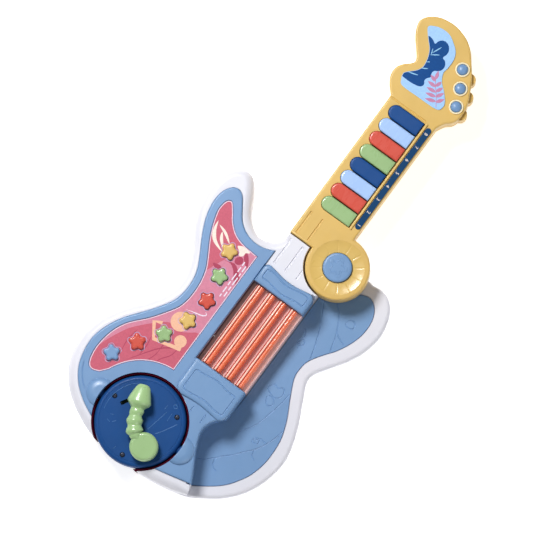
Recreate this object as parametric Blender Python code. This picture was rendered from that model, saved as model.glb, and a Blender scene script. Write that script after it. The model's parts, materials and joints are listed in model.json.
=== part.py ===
"""Folding toy electric guitar with piano keys on its neck, a flip-over disc and strum bars.

It lies on its back on the table: +X across the neck, +Y towards the head, +Z out of its face.
The neck folds clockwise over the low right-hand deck, about the hub.
Lengths in this file are millimetres; only piece() turns them into metres.
"""

import math

import bmesh
import bpy
from mathutils import Vector

MM = 0.001

# Clearance between pieces that nearly touch
GAP = 0.3

# Heights above the table
PARTING = 12.0
DECK_TOP = 15.2
LOW_RIM_TOP = 16.0
SHELF_BOTTOM = 35.8
SHELF_TOP = 38.2
SHELL_TOP = 40.5
PANEL_TOP = 42.5
LABEL_FLOOR = 41.0
WALL = 2.4

# Fold hub
HUB = (25.2, 225.2)
HUB_RADIUS = 27.5
HUB_CLEARANCE = 28.5
PIVOT_RADIUS = 8.0

# Flip-over disc, which turns about a line along X through its middle
DISC = (-31.8, 22.5)
DISC_AXIS_Z = 33.5
DISC_RADIUS = 39.0
DISC_HALF_THICKNESS = 8.5
DISC_HOLE_RADIUS = 41.5
TRUNNION_RADIUS = 5.1
TRUNNION_REACH = 46.4

# Lever on the disc
LEVER = (-16.0, 7.0)
LEVER_BASE_RADIUS = 12.2
LEVER_REST_DEG = 128.6
LEVER_SWING_DEG = 23.0
LEVER_AXIS_Z = 51.2
LEVER_SLOT_RADIUS = 42.0
# Rings of the lever's bent arm at rest: X, Y, heading in degrees, radius
LEVER_ARM = [
    (-20.0, 8.2, 160, 4.6), (-25.5, 9.8, 155, 5.0), (-28.4, 11.0, 140, 5.3), (-30.1, 13.0, 131, 7.4),
    (-32.8, 16.5, 127, 5.7), (-35.2, 20.1, 123, 7.0), (-37.1, 23.8, 119, 5.4), (-38.2, 27.3, 116, 6.1),
    (-39.1, 29.6, 113, 5.7), (-41.2, 34.7, 110, 10.1), (-43.3, 40.4, 110, 8.5), (-45.3, 46.4, 110, 6.2),
    (-46.2, 49.2, 110, 3.6),
]

# Strum bars and the blocks at their ends
STRING_X = (-17.0, -5.6, 5.9, 17.4)
STRING_HALF_WIDTH = 3.7
STRINGS_Y = (94.4, 174.9)
BLOCK_LEFT = -25.2
BLOCK_RIGHT = 25.0
BLOCK_TOP = 45.0
COVER_TOP = 34.0

# Neck
NECK_BOTTOM = 17.5
NECK_PARTING = 28.0
NECK_TOP = 42.0
NECK_LEFT = -25.2
NECK_RIGHT = 22.6
NECK_END = 226.4

# Piano keys
KEY_COUNT = 8
KEY_PITCH = 13.68
KEY_HALF_WIDTH = 6.4
FIRST_KEY_Y = 264.8
KEY_LEFT = -19.0
KEY_HINGE_X = 12.5
KEY_HINGE_Z = 40.6
KEY_TOP = 44.4

# Outlines, each list in the order of a walk with the solid on the left hand
LOW_EDGE_RIGHT = [
    (-31, -14.4), (-14.5, -13.2), (0, -12), (13, -10.2), (26, -7.2), (36, -4), (45.4, 1.6), (60, 12),
    (72, 25.6), (80, 41.6), (84.3, 61), (83.3, 77), (76.7, 97.6), (66, 120), (60, 133), (60.5, 142),
    (67.7, 153.6), (78.2, 169.6), (85, 186), (87.2, 203), (83, 220.5), (75, 230.5), (66, 233.8), (57, 233),
]
LEFT_EDGE = [
    (-25.4, 219.5), (-29.5, 213.5), (-36.5, 209.1), (-44.2, 207.6), (-51.2, 210.4), (-58.1, 216),
    (-63.3, 223), (-69.4, 234.2), (-77.1, 244.6), (-85, 247.2), (-93, 244), (-99, 236.5), (-102.3, 226),
    (-103, 213), (-100.8, 198), (-94.8, 184), (-86.8, 172), (-80.2, 159), (-76.2, 147), (-75.2, 138),
    (-76.6, 129), (-80, 120), (-88, 108), (-98, 96), (-106, 84), (-112, 71), (-115, 57), (-114.8, 45),
    (-112.2, 32), (-106.8, 21), (-98.5, 10.8), (-86.2, 1.5), (-72, -5.8), (-60, -10.2), (-48, -13),
]
# The step from the raised left side down to the deck, from the bottom rim up to the bridge
STEP = [(34.6, 3), (28, 16.5), (21, 29), (16.3, 39.5), (14.3, 47), (15.7, 55), (20.5, 62.3), (25, 67.5)]
DECK_EDGE = [
    (39.1, 7.6), (50.3, 16.9), (58.1, 25), (63.5, 33), (68.1, 41.6), (71.6, 54), (72.5, 66), (71.1, 81.6),
    (65.5, 97.6), (57.1, 113.6), (49.9, 129), (48.7, 138), (50.4, 148), (57, 159), (64.8, 169.6),
    (71, 182), (74.4, 195), (73.9, 208), (69.5, 217.6), (62.5, 222.6), (54, 221.2), (47.3, 215.6),
]
PANEL_BOTTOM = [(-60, 0), (-10, -3.5), (3, -1.9), (17, 1.2)]
PANEL_LEFT = [
    (-25.6, 206), (-32, 203), (-41, 201.3), (-50.3, 202.6), (-58, 206.1), (-64.2, 211.5), (-70.2, 220),
    (-75.4, 227), (-80.6, 229.9), (-86.5, 228), (-91, 221.5), (-92.7, 212), (-91.5, 201), (-88, 190),
    (-82.8, 179), (-76.5, 168), (-71.3, 158.5), (-67.8, 149), (-66.7, 139), (-67.6, 129), (-70.5, 120),
    (-78, 108), (-87, 96), (-96, 84), (-102.2, 72), (-106, 60), (-106.5, 50), (-104.3, 37), (-99.5, 26),
    (-91.2, 16), (-80.5, 8.2), (-69, 2.5),
]
LABEL_EDGE = [
    (-34.5, 193), (-42, 193.6), (-50, 194.3), (-59.5, 197.3), (-68, 204), (-74, 212), (-79.5, 218),
    (-84, 215.5), (-85.3, 207), (-83.6, 199), (-80, 189), (-75.7, 180), (-69.9, 170), (-64.5, 160),
    (-61.5, 150), (-60.4, 140), (-60.7, 130), (-63.1, 120), (-69.1, 110), (-77.5, 98), (-86.5, 88),
    (-92.4, 80), (-97, 69), (-99.3, 56), (-98.8, 45), (-96, 36.5), (-91, 33.8), (-84.5, 36),
]
LABEL_ARC_RADIUS = 51.3
HEAD_EDGE = [
    (22.6, 370), (26.1, 377.5), (30.3, 382), (32.7, 388), (32.7, 395.5), (31, 403), (26.7, 412),
    (21.2, 422), (14.2, 431), (7.3, 439.3), (-0.5, 445.3), (-8, 448.3), (-15.5, 449.8), (-24, 449.4),
    (-32.5, 447), (-39.5, 441.7), (-42.3, 435), (-38.8, 425.6), (-32.5, 418), (-27, 411), (-24.8, 406),
    (-27, 402), (-31.8, 397.6), (-35, 392), (-35, 385), (-31.8, 378), (-25.2, 371),
]
HEAD_LABEL_EDGE = [
    (16.5, 387.8), (15, 392.7), (9.5, 399), (3.2, 404.6), (-0.3, 411.6), (0.4, 417), (0.2, 425.6),
    (-2.4, 432), (-8, 437), (-15, 441), (-22, 441.7), (-29, 440), (-34, 436), (-29, 429), (-22, 421.4),
    (-18.5, 413.7), (-17.4, 406), (-20, 400.4), (-25.5, 394.8), (-27.6, 391.3), (-26, 386.4),
    (-22, 382.5), (-6, 382.4), (13, 383),
]

# Star buttons: name of finish, middle, direction of one point in degrees
STARS = [
    ("blue", (-85.5, 55.0), 275), ("red", (-73.6, 75.0), 272), ("green", (-59.3, 93.7), 272),
    ("yellow", (-49.8, 114.7), 0), ("red", (-46.9, 137.8), 88), ("green", (-50.7, 160.5), 95),
    ("yellow", (-56.5, 182.4), 98),
]
STAR_RADIUS = 7.2
KEY_FINISHES = ("green", "red", "pale_blue", "navy")
HEAD_BUTTONS = ((11.2, 423.4), (19.2, 409.1), (25.5, 394.5))
PEGS = ((20.5, 420.5), (27.8, 407.0), (31.8, 392.3))

# Screws that close the body from behind, and the power switch there
BODY_SCREWS = ((-93.0, 216.0), (-103.2, 52.0), (20.0, 3.5), (-6.0, 206.0))
SCREW_HEAD_RADIUS = 2.8
SCREW_SHANK_RADIUS = 1.3
SWITCH = (-50.0, 137.0)

# Finish: colour, roughness
FINISHES = {
    "white": ((0.86, 0.87, 0.91), 0.35), "blue": ((0.22, 0.40, 0.66), 0.35),
    "pale_blue": ((0.42, 0.62, 0.95), 0.3), "navy": ((0.03, 0.09, 0.30), 0.3),
    "yellow": ((0.80, 0.52, 0.15), 0.35), "green": ((0.40, 0.62, 0.27), 0.35),
    "red": ((0.75, 0.12, 0.08), 0.35), "pink": ((0.70, 0.22, 0.30), 0.5),
    "rose_clear": ((0.80, 0.42, 0.42), 0.25), "orange_clear": ((0.85, 0.22, 0.09), 0.2),
    "maroon": ((0.06, 0.005, 0.015), 0.3), "board": ((0.03, 0.22, 0.08), 0.5),
    "black": ((0.03, 0.03, 0.03), 0.5), "steel": ((0.55, 0.56, 0.58), 0.3),
}

# Parents: where each one stands in the drawing's own millimetres
PLACES = {
    "guitar": Vector((0, 0, 0)),
    "neck_pivot": Vector((*HUB, 0)),
    "disc_pivot": Vector((*DISC, DISC_AXIS_Z)),
}


def smooth(points, steps=2):
    """Points on a smooth open curve that runs through the given ones."""
    ends = [points[0], *points, points[-1]]
    curve = []
    for four in zip(ends, ends[1:], ends[2:], ends[3:]):
        a, b, c, d = map(Vector, four)
        for step in range(steps):
            t = step / steps
            bend = (2 * a - 5 * b + 4 * c - d) * t**2 + (3 * b - a - 3 * c + d) * t**3
            curve.append(tuple(0.5 * (2 * b + (c - a) * t + bend)))
    return [*curve, points[-1]]


def arc(centre, radius, start, end, steps):
    """Points on an arc, from start to end in degrees."""
    turns = [math.radians(start + (end - start) * step / steps) for step in range(steps + 1)]
    return [(centre[0] + radius * math.cos(t), centre[1] + radius * math.sin(t)) for t in turns]


def circle(centre, radius, sides):
    return arc(centre, radius, 0, 360, sides)[:-1]


def rectangle(left, right, low, high):
    return [(left, low), (right, low), (right, high), (left, high)]


def star(centre, radius, point_deg):
    """A plump five-pointed star with a short edge at each tip."""
    outline = []
    for tip in range(5):
        middle = point_deg + 72 * tip
        for turn, reach in ((-8, 0.97), (8, 0.97), (36, 0.64)):
            outline += arc(centre, radius * reach, middle + turn, middle + turn, 1)[:1]
    return outline


def inset(outline, distance, weights=None):
    """The outline with each point moved inwards by distance, or outwards where it is negative."""
    moved = []
    for index, here in enumerate(outline):
        before = (Vector(here) - Vector(outline[index - 1])).normalized()
        after = (Vector(outline[(index + 1) % len(outline)]) - Vector(here)).normalized()
        inward = Vector((-before.y - after.y, before.x + after.x)).normalized()
        stretch = 1 / max(0.6, inward.x * -before.y + inward.y * before.x)
        weight = weights[index] if weights else 1
        moved.append(tuple(Vector(here) + inward * distance * weight * stretch))
    return moved


def beside(points, distance):
    """The open line moved to its left by distance."""
    moved = []
    for index, here in enumerate(points):
        before = Vector(points[max(index - 1, 0)])
        after = Vector(points[min(index + 1, len(points) - 1)])
        along = (after - before).normalized()
        moved.append((here[0] - along.y * distance, here[1] + along.x * distance))
    return moved


def stack(bm, rings):
    """Closes a solid over rings of points that all have the same count."""
    rings = [[bm.verts.new(point) for point in ring] for ring in rings]
    bm.faces.new(reversed(rings[0]))
    bm.faces.new(rings[-1])
    for low, high in zip(rings, rings[1:]):
        for index in range(len(low)):
            after = (index + 1) % len(low)
            bm.faces.new((low[index], low[after], high[after], high[index]))


def piece(name, bm, finish, parent="guitar", origin=(0, 0, 0)):
    """Makes the object from a mesh in millimetres, with its origin at the given place."""
    bmesh.ops.translate(bm, verts=bm.verts, vec=-Vector(origin))
    bmesh.ops.scale(bm, verts=bm.verts, vec=(MM, MM, MM))
    mesh = bpy.data.meshes.new(name)
    bm.to_mesh(mesh)
    bm.free()
    obj = bpy.data.objects.new(name, mesh)
    bpy.context.collection.objects.link(obj)
    obj.parent = bpy.data.objects[parent]
    obj.location = (Vector(origin) - PLACES[parent]) * MM
    if finish:
        mesh.materials.append(bpy.data.materials[finish])
        mesh.shade_smooth()
        mesh.set_sharp_from_angle(angle=math.radians(35))
    return obj


def loft(name, outline, levels, finish=None, parent="guitar", origin=(0, 0, 0), weights=None):
    """A solid that rises through levels, each a height and how far the outline has drawn in there."""
    bm = bmesh.new()
    stack(bm, [[(*point, height) for point in inset(outline, far, weights)] for height, far in levels])
    return piece(name, bm, finish, parent, origin)


def rod(name, start, end, levels, sides, finish=None, parent="guitar", origin=(0, 0, 0), flat=1.0):
    """A round solid from start to end: levels are distances along it with its radius there.

    flat squeezes its height only.
    """
    bm = bmesh.new()
    along = (Vector(end) - Vector(start)).normalized()
    across = Vector((0, 0, 1)).cross(along).normalized()
    up = along.cross(across)
    rings = []
    for distance, radius in levels:
        middle = Vector(start) + along * distance
        turns = [math.tau * side / sides for side in range(sides)]
        rings.append([
            middle + across * radius * math.cos(t) + up * radius * flat * math.sin(t) for t in turns
        ])
    stack(bm, rings)
    return piece(name, bm, finish, parent, origin)


def box(name, low, high, finish=None, parent="guitar", origin=(0, 0, 0)):
    outline = rectangle(low[0], high[0], low[1], high[1])
    return loft(name, outline, [(low[2], 0), (high[2], 0)], finish, parent, origin)


def combine(target, tools, operation):
    """Adds Boolean modifiers and hides the tools from the finished object."""
    for tool in tools:
        tool.hide_render = True
        tool.display_type = "WIRE"
        modifier = target.modifiers.new(tool.name, "BOOLEAN")
        modifier.operation = operation
        modifier.object = tool
    return target


def cut(target, *tools):
    return combine(target, tools, "DIFFERENCE")


def join(target, *tools):
    return combine(target, tools, "UNION")


def clear_scene():
    for obj in list(bpy.data.objects):
        bpy.data.objects.remove(obj)


def make_finishes():
    for name, (colour, roughness) in FINISHES.items():
        material = bpy.data.materials.new(name)
        material.use_nodes = True
        shader = material.node_tree.nodes["Principled BSDF"]
        shader.inputs["Base Color"].default_value = (*colour, 1)
        shader.inputs["Roughness"].default_value = roughness
        shader.inputs["Metallic"].default_value = 1.0 if name == "steel" else 0.0


def low_outline():
    """The whole body at table level, with the round lobe that carries the hub."""
    lobe = arc(HUB, 25, 22, 172, 10)
    return [*smooth(LOW_EDGE_RIGHT), *lobe, (-25.2, 226), *smooth(LEFT_EDGE)]


def raised_outline(with_stub_edge=True):
    """The white raised side. Its right edge stands behind the step, and it is hollow round the hub.

    The stub's own edge stands out by the thickness of the blocks below it; the hollow leaves that out.
    """
    right = [(35.4, -4), *beside(STEP, 3.0), (21.8, 71)]
    if with_stub_edge:
        right += [(21.8, 193.8), (25, 193.8), *arc(HUB, HUB_CLEARANCE, 270, 180, 8)]
    else:
        right += arc(HUB, HUB_CLEARANCE, 263, 180, 8)
    return [*smooth(LOW_EDGE_RIGHT[:5]), *right, (-3.3, 226), (-25.2, 226), *smooth(LEFT_EDGE)]


def panel_outline():
    return [*PANEL_BOTTOM, (34.2, 5.4), *smooth(STEP)[1:], (25, 93.9), (-25.6, 93.9), *smooth(PANEL_LEFT)]


def deck_outline():
    return [
        *smooth(DECK_EDGE), *arc(HUB, 24.2, -27, -86, 5), (25.4, 199), (25.4, 94.2),
        *reversed(beside(STEP, 1.2)), (35.8, 2.6),
    ]


def label_outline():
    return [*smooth(LABEL_EDGE), *arc(DISC, LABEL_ARC_RADIUS, 157, 95, 8), (-34.5, 73.8)]


def neck_outline():
    """Neck, hub and head together."""
    meeting = math.degrees(math.acos((NECK_RIGHT - HUB[0]) / HUB_RADIUS))
    hub = arc(HUB, HUB_RADIUS, 177.5, 360 + meeting, 18)
    return [(NECK_LEFT, NECK_END), *hub, *smooth(HEAD_EDGE)]


def middle_of_object():
    """Middle of the whole object's length and width."""
    xs = [x for x, _ in low_outline()]
    head_top = max(y for _, y in neck_outline())
    return (min(xs) + max(xs)) / 2, (DISC[1] - DISC_RADIUS + head_top) / 2


def make_parents():
    guitar = bpy.data.objects.new("guitar", None)
    bpy.context.collection.objects.link(guitar)
    middle = middle_of_object()
    guitar.location = (-middle[0] * MM, -middle[1] * MM, 0)
    for name, place in PLACES.items():
        if name == "guitar":
            continue
        empty = bpy.data.objects.new(name, None)
        bpy.context.collection.objects.link(empty)
        empty.parent = guitar
        empty.location = place * MM


def disc_hole(name, radius=DISC_HOLE_RADIUS):
    return loft(name, circle(DISC, radius, 48), [(-2, 0), (60, 0)])


def trunnion_slot(name):
    """Room for both trunnions, open upwards."""
    half = TRUNNION_RADIUS + 0.4
    profile = [(half, 30.0), (half, 0.0)] + [
        (half * math.cos(t), half * math.sin(t)) for t in [-math.pi * step / 8 for step in range(1, 8)]
    ] + [(-half, 0.0), (-half, 30.0)]
    bm = bmesh.new()
    reach = TRUNNION_REACH + 1
    stack(bm, [
        [(DISC[0] + x, DISC[1] + across, DISC_AXIS_Z + up) for across, up in reversed(profile)]
        for x in (-reach, reach)
    ])
    return piece(name, bm, None)


def back_shell():
    shell = loft("body_back_shell", low_outline(), [(0, 3.0), (2.6, 0.4), (PARTING, 0)], "white")
    cavity = loft("back_cavity", inset(low_outline(), WALL), [(2.2, 0), (PARTING + 2, 0)])
    hatch = box("battery_hatch", (-65, 68, -2), (-26, 120, 6))
    slots = bmesh.new()
    for row in range(5):
        x = -66 + 8 * row
        half = 15 - 1.6 * abs(row - 2) ** 2
        outline = rectangle(x - 1.3, x + 1.3, 168 - half, 168 + half)
        stack(slots, [[(*point, height) for point in outline] for height in (-2, 6)])
    x, y = SWITCH
    switch_slot = box("switch_slot", (x - 2.2, y - 5, -2), (x + 2.2, y + 5, 6))
    return cut(
        shell, cavity, disc_hole("back_hole"), hatch, piece("speaker_slots", slots, None), switch_slot,
        *screw_holes("head", SCREW_HEAD_RADIUS + 0.4, -2, 1.7),
        *screw_holes("floor", SCREW_SHANK_RADIUS + 0.3, -2, 6),
    )


def front_shell():
    """White shell: raised left side with a shelf for the panel, the stub, and the low rim on the right."""
    outline = raised_outline()
    bottom = len(smooth(LOW_EDGE_RIGHT[:5]))
    left = len(smooth(LEFT_EDGE))
    weights = [1.0] * bottom + [0.12] * (len(outline) - bottom - left) + [1.0] * left
    levels = [(PARTING + GAP, 0), (34, 0.5), (38.4, 2.4), (SHELL_TOP, 7)]
    shell = loft("body_front_shell", outline, levels, "white", weights=weights)
    rim = loft("low_rim", [
        (30, -5), *smooth(LOW_EDGE_RIGHT[5:]), *arc(HUB, 25, 22, 150, 8),
        *arc(HUB, 30, 170, 262, 8), (21, 192), (21, 69), *reversed(beside(STEP, 4.0)),
    ], [(PARTING + GAP, 0), (14.6, 0.2), (LOW_RIM_TOP, 1.4)])
    inner = inset(raised_outline(with_stub_edge=False), WALL)
    cavity = loft("front_cavity", inner, [(PARTING - 2, 0), (SHELF_BOTTOM, 0)])
    panel_seat = loft("panel_seat", inset(panel_outline(), -GAP), [(SHELF_TOP, 0), (60, 0)])
    window = loft("panel_window", inset(label_outline(), 1.5), [(30, 0), (60, 0)])
    strings = box("string_bay", (BLOCK_LEFT - 0.4, 94.1, LOW_RIM_TOP), (32, 193.6, 60))
    deck_seat = loft("deck_seat", [
        *inset(smooth(DECK_EDGE), -GAP)[1:-1], *arc(HUB, 23.9, -27, -84, 5), (25.1, 199), (25.1, 67),
        *reversed(STEP[:-1]), (38, 2),
    ], [(LOW_RIM_TOP - 2.7, 0), (20, 0)])
    deck_well = loft("deck_well", inset([
        *smooth(DECK_EDGE), *arc(HUB, 24.2, -27, -84, 5), (28, 199), (28, 70), *reversed(STEP),
    ], 3.0), [(5, 0), (20, 0)])
    past_end = [(35.6, 1.0), *STEP]
    wall_room = loft("step_wall_room", [
        *beside(past_end, -1), (26.5, 95), (22.1, 95), *reversed(beside(past_end, 2.6)),
    ], [(LOW_RIM_TOP - 2.7, 0), (60, 0)])
    post_hole = loft("post_hole", circle(HUB, PIVOT_RADIUS + 0.4, 24), [(5, 0), (20, 0)])
    join(shell, rim)
    cut(shell, cavity)
    for number, place in enumerate(BODY_SCREWS, 1):
        levels = [(PARTING + 0.6, 0), (SHELF_BOTTOM + 0.6, 0)]
        join(shell, loft(f"boss_{number}", circle(place, 3.4, 12), levels))
    return cut(
        shell, *screw_holes("boss", SCREW_SHANK_RADIUS + 0.3, 5, 26),
        panel_seat, window, strings, deck_seat, deck_well, wall_room, post_hole,
        disc_hole("front_hole"), trunnion_slot("front_trunnion_slot"),
    )


def top_panel():
    """Blue panel with its sunk label bed, star holes and a dome over each trunnion."""
    panel = loft("top_panel", panel_outline(), [(SHELF_TOP + GAP, 0), (41.4, 0), (PANEL_TOP, 1.4)], "blue")
    for name, side in (("left", -1), ("right", 1)):
        middle = (DISC[0] + side * 43, DISC[1])
        turn = 90 if side < 0 else -90
        outline = [*arc(middle, 9.3, turn, turn + 180, 12), *[
            (DISC[0] + side * 36, DISC[1] + end) for end in (side * 9.3, -side * 9.3)
        ]]
        dome = loft(name + "_dome", outline, [(40, 0), (PANEL_TOP, 0), (44.8, 1.6), (46, 4.6)])
        join(panel, dome)
    bed = loft("label_bed", label_outline(), [(LABEL_FLOOR, 0), (60, 0)])
    holes = bmesh.new()
    for _, middle, turn in STARS:
        outline = star(middle, STAR_RADIUS + 0.35, turn)
        stack(holes, [[(*point, height) for point in outline] for height in (30, 60)])
    reach = TRUNNION_REACH + 1
    ends = [(DISC[0] + side * reach, DISC[1], DISC_AXIS_Z) for side in (-1, 1)]
    levels = [(0, TRUNNION_RADIUS + 0.4), (2 * reach, TRUNNION_RADIUS + 0.4)]
    grooves = rod("trunnion_groove", *ends, levels, 24)
    return cut(panel, disc_hole("panel_hole"), bed, piece("star_holes", holes, None), grooves)


def deck_panel():
    """Low blue deck on the right with its upturned wall along the step."""
    deck = loft("deck_panel", deck_outline(), [(LOW_RIM_TOP - 2.4, 0.3), (DECK_TOP, 0.3)], "blue")
    wall = [*STEP, (25, 93.9), (22.6, 93.9), *reversed(beside(STEP, 2.2))]
    return join(deck, loft("step_wall", wall, [(LOW_RIM_TOP - 2.4, 0), (SHELF_TOP, 0)]))


def wavy(left, right, height, depth, steps=10):
    """A line from right to left that dips once in the middle."""
    span = right - left
    return [
        (right - span * step / steps, height - depth * math.cos(math.tau * (step / steps - 0.5)))
        for step in range(steps + 1)
    ]


def string_bay():
    """The blocks at both ends of the strum bars, the clear cover under them and the bars."""
    lower_edge = reversed(wavy(BLOCK_LEFT, BLOCK_RIGHT - 5, 61.6, 0.7))
    bridge = [(BLOCK_LEFT, 94.0), *lower_edge, (BLOCK_RIGHT, 67), (BLOCK_RIGHT, 94.0)]
    levels = [(PANEL_TOP + GAP, 0), (44, 0), (44.7, 0.4), (BLOCK_TOP, 1.2)]
    cut(loft("bridge_block", bridge, levels, "blue"), disc_hole("bridge_notch", DISC_HOLE_RADIUS + 0.1))

    upper = [(BLOCK_LEFT, 175.2), (BLOCK_RIGHT, 175.2), *wavy(BLOCK_LEFT, BLOCK_RIGHT, 192.3, 1.1)]
    block = loft("upper_string_block", upper, [(LOW_RIM_TOP + GAP, 0), *levels[1:]], "blue")
    cut(block, box("upper_block_hollow", (BLOCK_LEFT + 2, 177.2, 10), (BLOCK_RIGHT - 2, 189, 40)))

    low, high = STRINGS_Y
    outline = rectangle(BLOCK_LEFT, BLOCK_RIGHT, low - 0.1, high)
    cover = loft("string_light_cover", outline, [(LOW_RIM_TOP + GAP, 0), (COVER_TOP, 0)], "rose_clear")
    cut(cover, loft("cover_hollow", inset(outline, 2), [(10, 0), (COVER_TOP - 2, 0)]))

    for number, x in enumerate(STRING_X, 1):
        outline = rectangle(x - STRING_HALF_WIDTH, x + STRING_HALF_WIDTH, low + 0.4, high - 0.4)
        levels = [(COVER_TOP + GAP, 1.4), (36.4, 0.1), (38.6, 0.1), (40.6, 1.0), (41.4, 2.4)]
        loft(f"string_{number}", outline, levels, "orange_clear", origin=(x, (low + high) / 2, 38))


def stars_and_label():
    levels = [(LABEL_FLOOR + GAP / 2, 0), (LABEL_FLOOR + 0.7, 0)]
    label = loft("body_label", inset(label_outline(), GAP), levels, "pink")
    holes = bmesh.new()
    for number, (finish, middle, turn) in enumerate(STARS, 1):
        outline = star(middle, STAR_RADIUS, turn)
        levels = [(37, 0), (43.8, 0), (44.9, 1.2)]
        loft(f"star_button_{number}", outline, levels, finish, origin=(*middle, LABEL_FLOOR))
        hole = star(middle, STAR_RADIUS + 0.35, turn)
        stack(holes, [[(*point, height) for point in hole] for height in (30, 60)])
    cut(label, piece("label_holes", holes, None))


def light_ring():
    """Dark clear liner round the disc, open at the bottom of the body and notched for the trunnions."""
    outline = [*arc(DISC, 41.1, -63, 237, 40), *arc(DISC, 40.1, 237, -63, 40)]
    ring = loft("disc_light_ring", outline, [(0.6, 0), (40.9, 0)], "maroon")
    cut(ring, trunnion_slot("ring_trunnion_slot"))


def cradles():
    """The blocks in which the trunnions turn."""
    for name, side in (("left", -1), ("right", 1)):
        near, far = sorted((DISC[0] + side * 42.2, DISC[0] + side * 46.0))
        low, high = DISC[1] - 7.2, DISC[1] + 7.2
        block = box(f"trunnion_cradle_{name}", (near, low, PARTING + 0.6), (far, high, 35.4), "white")
        cut(block, trunnion_slot(f"{name}_cradle_slot"))


def flip_disc():
    """Two hollow halves with half a trunnion each, and the small board between them."""
    for name, side in (("front", 1), ("back", -1)):
        plane = DISC_AXIS_Z + side * 0.15
        rounding = [(0, 0), (5.3, 0), (DISC_HALF_THICKNESS, 2.2)]
        levels = [(DISC_AXIS_Z + side * max(up, 0.15), far) for up, far in rounding]
        levels.sort()
        outline = circle(DISC, DISC_RADIUS, 40)
        half = loft(f"disc_{name}_half", outline, levels, "navy", "disc_pivot", PLACES["disc_pivot"])
        start = (DISC[0] - TRUNNION_REACH, DISC[1], DISC_AXIS_Z)
        end = (DISC[0] + TRUNNION_REACH, DISC[1], DISC_AXIS_Z)
        length = 2 * TRUNNION_REACH
        chamfered = [(0, 0.7), (0.7, 0), (length - 0.7, 0), (length, 0.7)]
        rings = [(along, TRUNNION_RADIUS - far) for along, far in chamfered]
        axle = rod(f"{name}_axle", start, end, rings, 16)
        inside = sorted((DISC_AXIS_Z - side * 9, plane))
        keep_out = box(f"{name}_other_side", (-90, DISC[1] - 9, inside[0]), (30, DISC[1] + 9, inside[1]))
        join(half, axle)
        hollow_top = sorted((DISC_AXIS_Z - side * 10, DISC_AXIS_Z + side * 6))
        hollow_levels = [(height, 0) for height in hollow_top]
        hollow = loft(f"{name}_hollow", circle(DISC, DISC_RADIUS - 6, 24), hollow_levels)
        cut(half, keep_out, hollow)
        if side > 0:
            cut(half, lever_slot(), loft("lever_bore", circle(LEVER, 3.4, 16), [(30, 0), (60, 0)]))
    board = circle(DISC, 27, 24)
    loft("disc_circuit_board", board, [(31.6, 0), (33.2, 0)], "board", "disc_pivot", PLACES["disc_pivot"])


def lever_slot():
    """Curved slot in the disc's face for the lever's pin."""
    start = LEVER_REST_DEG - 3
    end = LEVER_REST_DEG + LEVER_SWING_DEG + 3
    outer = arc(LEVER, LEVER_SLOT_RADIUS + 1.6, start, end, 8)
    outline = [*outer, *arc(LEVER, LEVER_SLOT_RADIUS - 1.6, end, start, 8)]
    return loft("lever_slot", outline, [(30, 0), (60, 0)])


def lever():
    """Green lever: a round flat-topped base, a ribbed arm and a plump tip, with a pin through the slot."""
    face = DISC_AXIS_Z + DISC_HALF_THICKNESS
    origin = (*LEVER, face)
    base_levels = [(face + 0.4, 0), (51, 0), (54, 1.8)]
    base = loft("lever", circle(LEVER, LEVER_BASE_RADIUS, 24), base_levels, "green", "disc_pivot", origin)
    bm = bmesh.new()
    rings = []
    for x, y, heading, radius in LEVER_ARM:
        turn = math.radians(heading)
        across = Vector((-math.sin(turn), math.cos(turn), 0)) * radius
        up = Vector((0, 0, radius * 0.8))
        turns = [math.tau * side / 12 for side in range(12)]
        rings.append([Vector((x, y, LEVER_AXIS_Z)) + across * math.cos(t) + up * math.sin(t) for t in turns])
    stack(bm, rings)
    arm = piece("lever_arm", bm, None)
    along = Vector((math.cos(math.radians(LEVER_REST_DEG)), math.sin(math.radians(LEVER_REST_DEG)), 0))
    spot = Vector((*LEVER, 0)) + along * LEVER_SLOT_RADIUS
    pin = loft("lever_slot_pin", circle((spot.x, spot.y), 1.1, 10), [(face - 4, 0), (LEVER_AXIS_Z - 4, 0)])
    stem = loft("lever_stem", circle(LEVER, 3.0, 16), [(face - 4, 0), (face + 4, 0)])
    join(base, arm, pin, stem)


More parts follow.
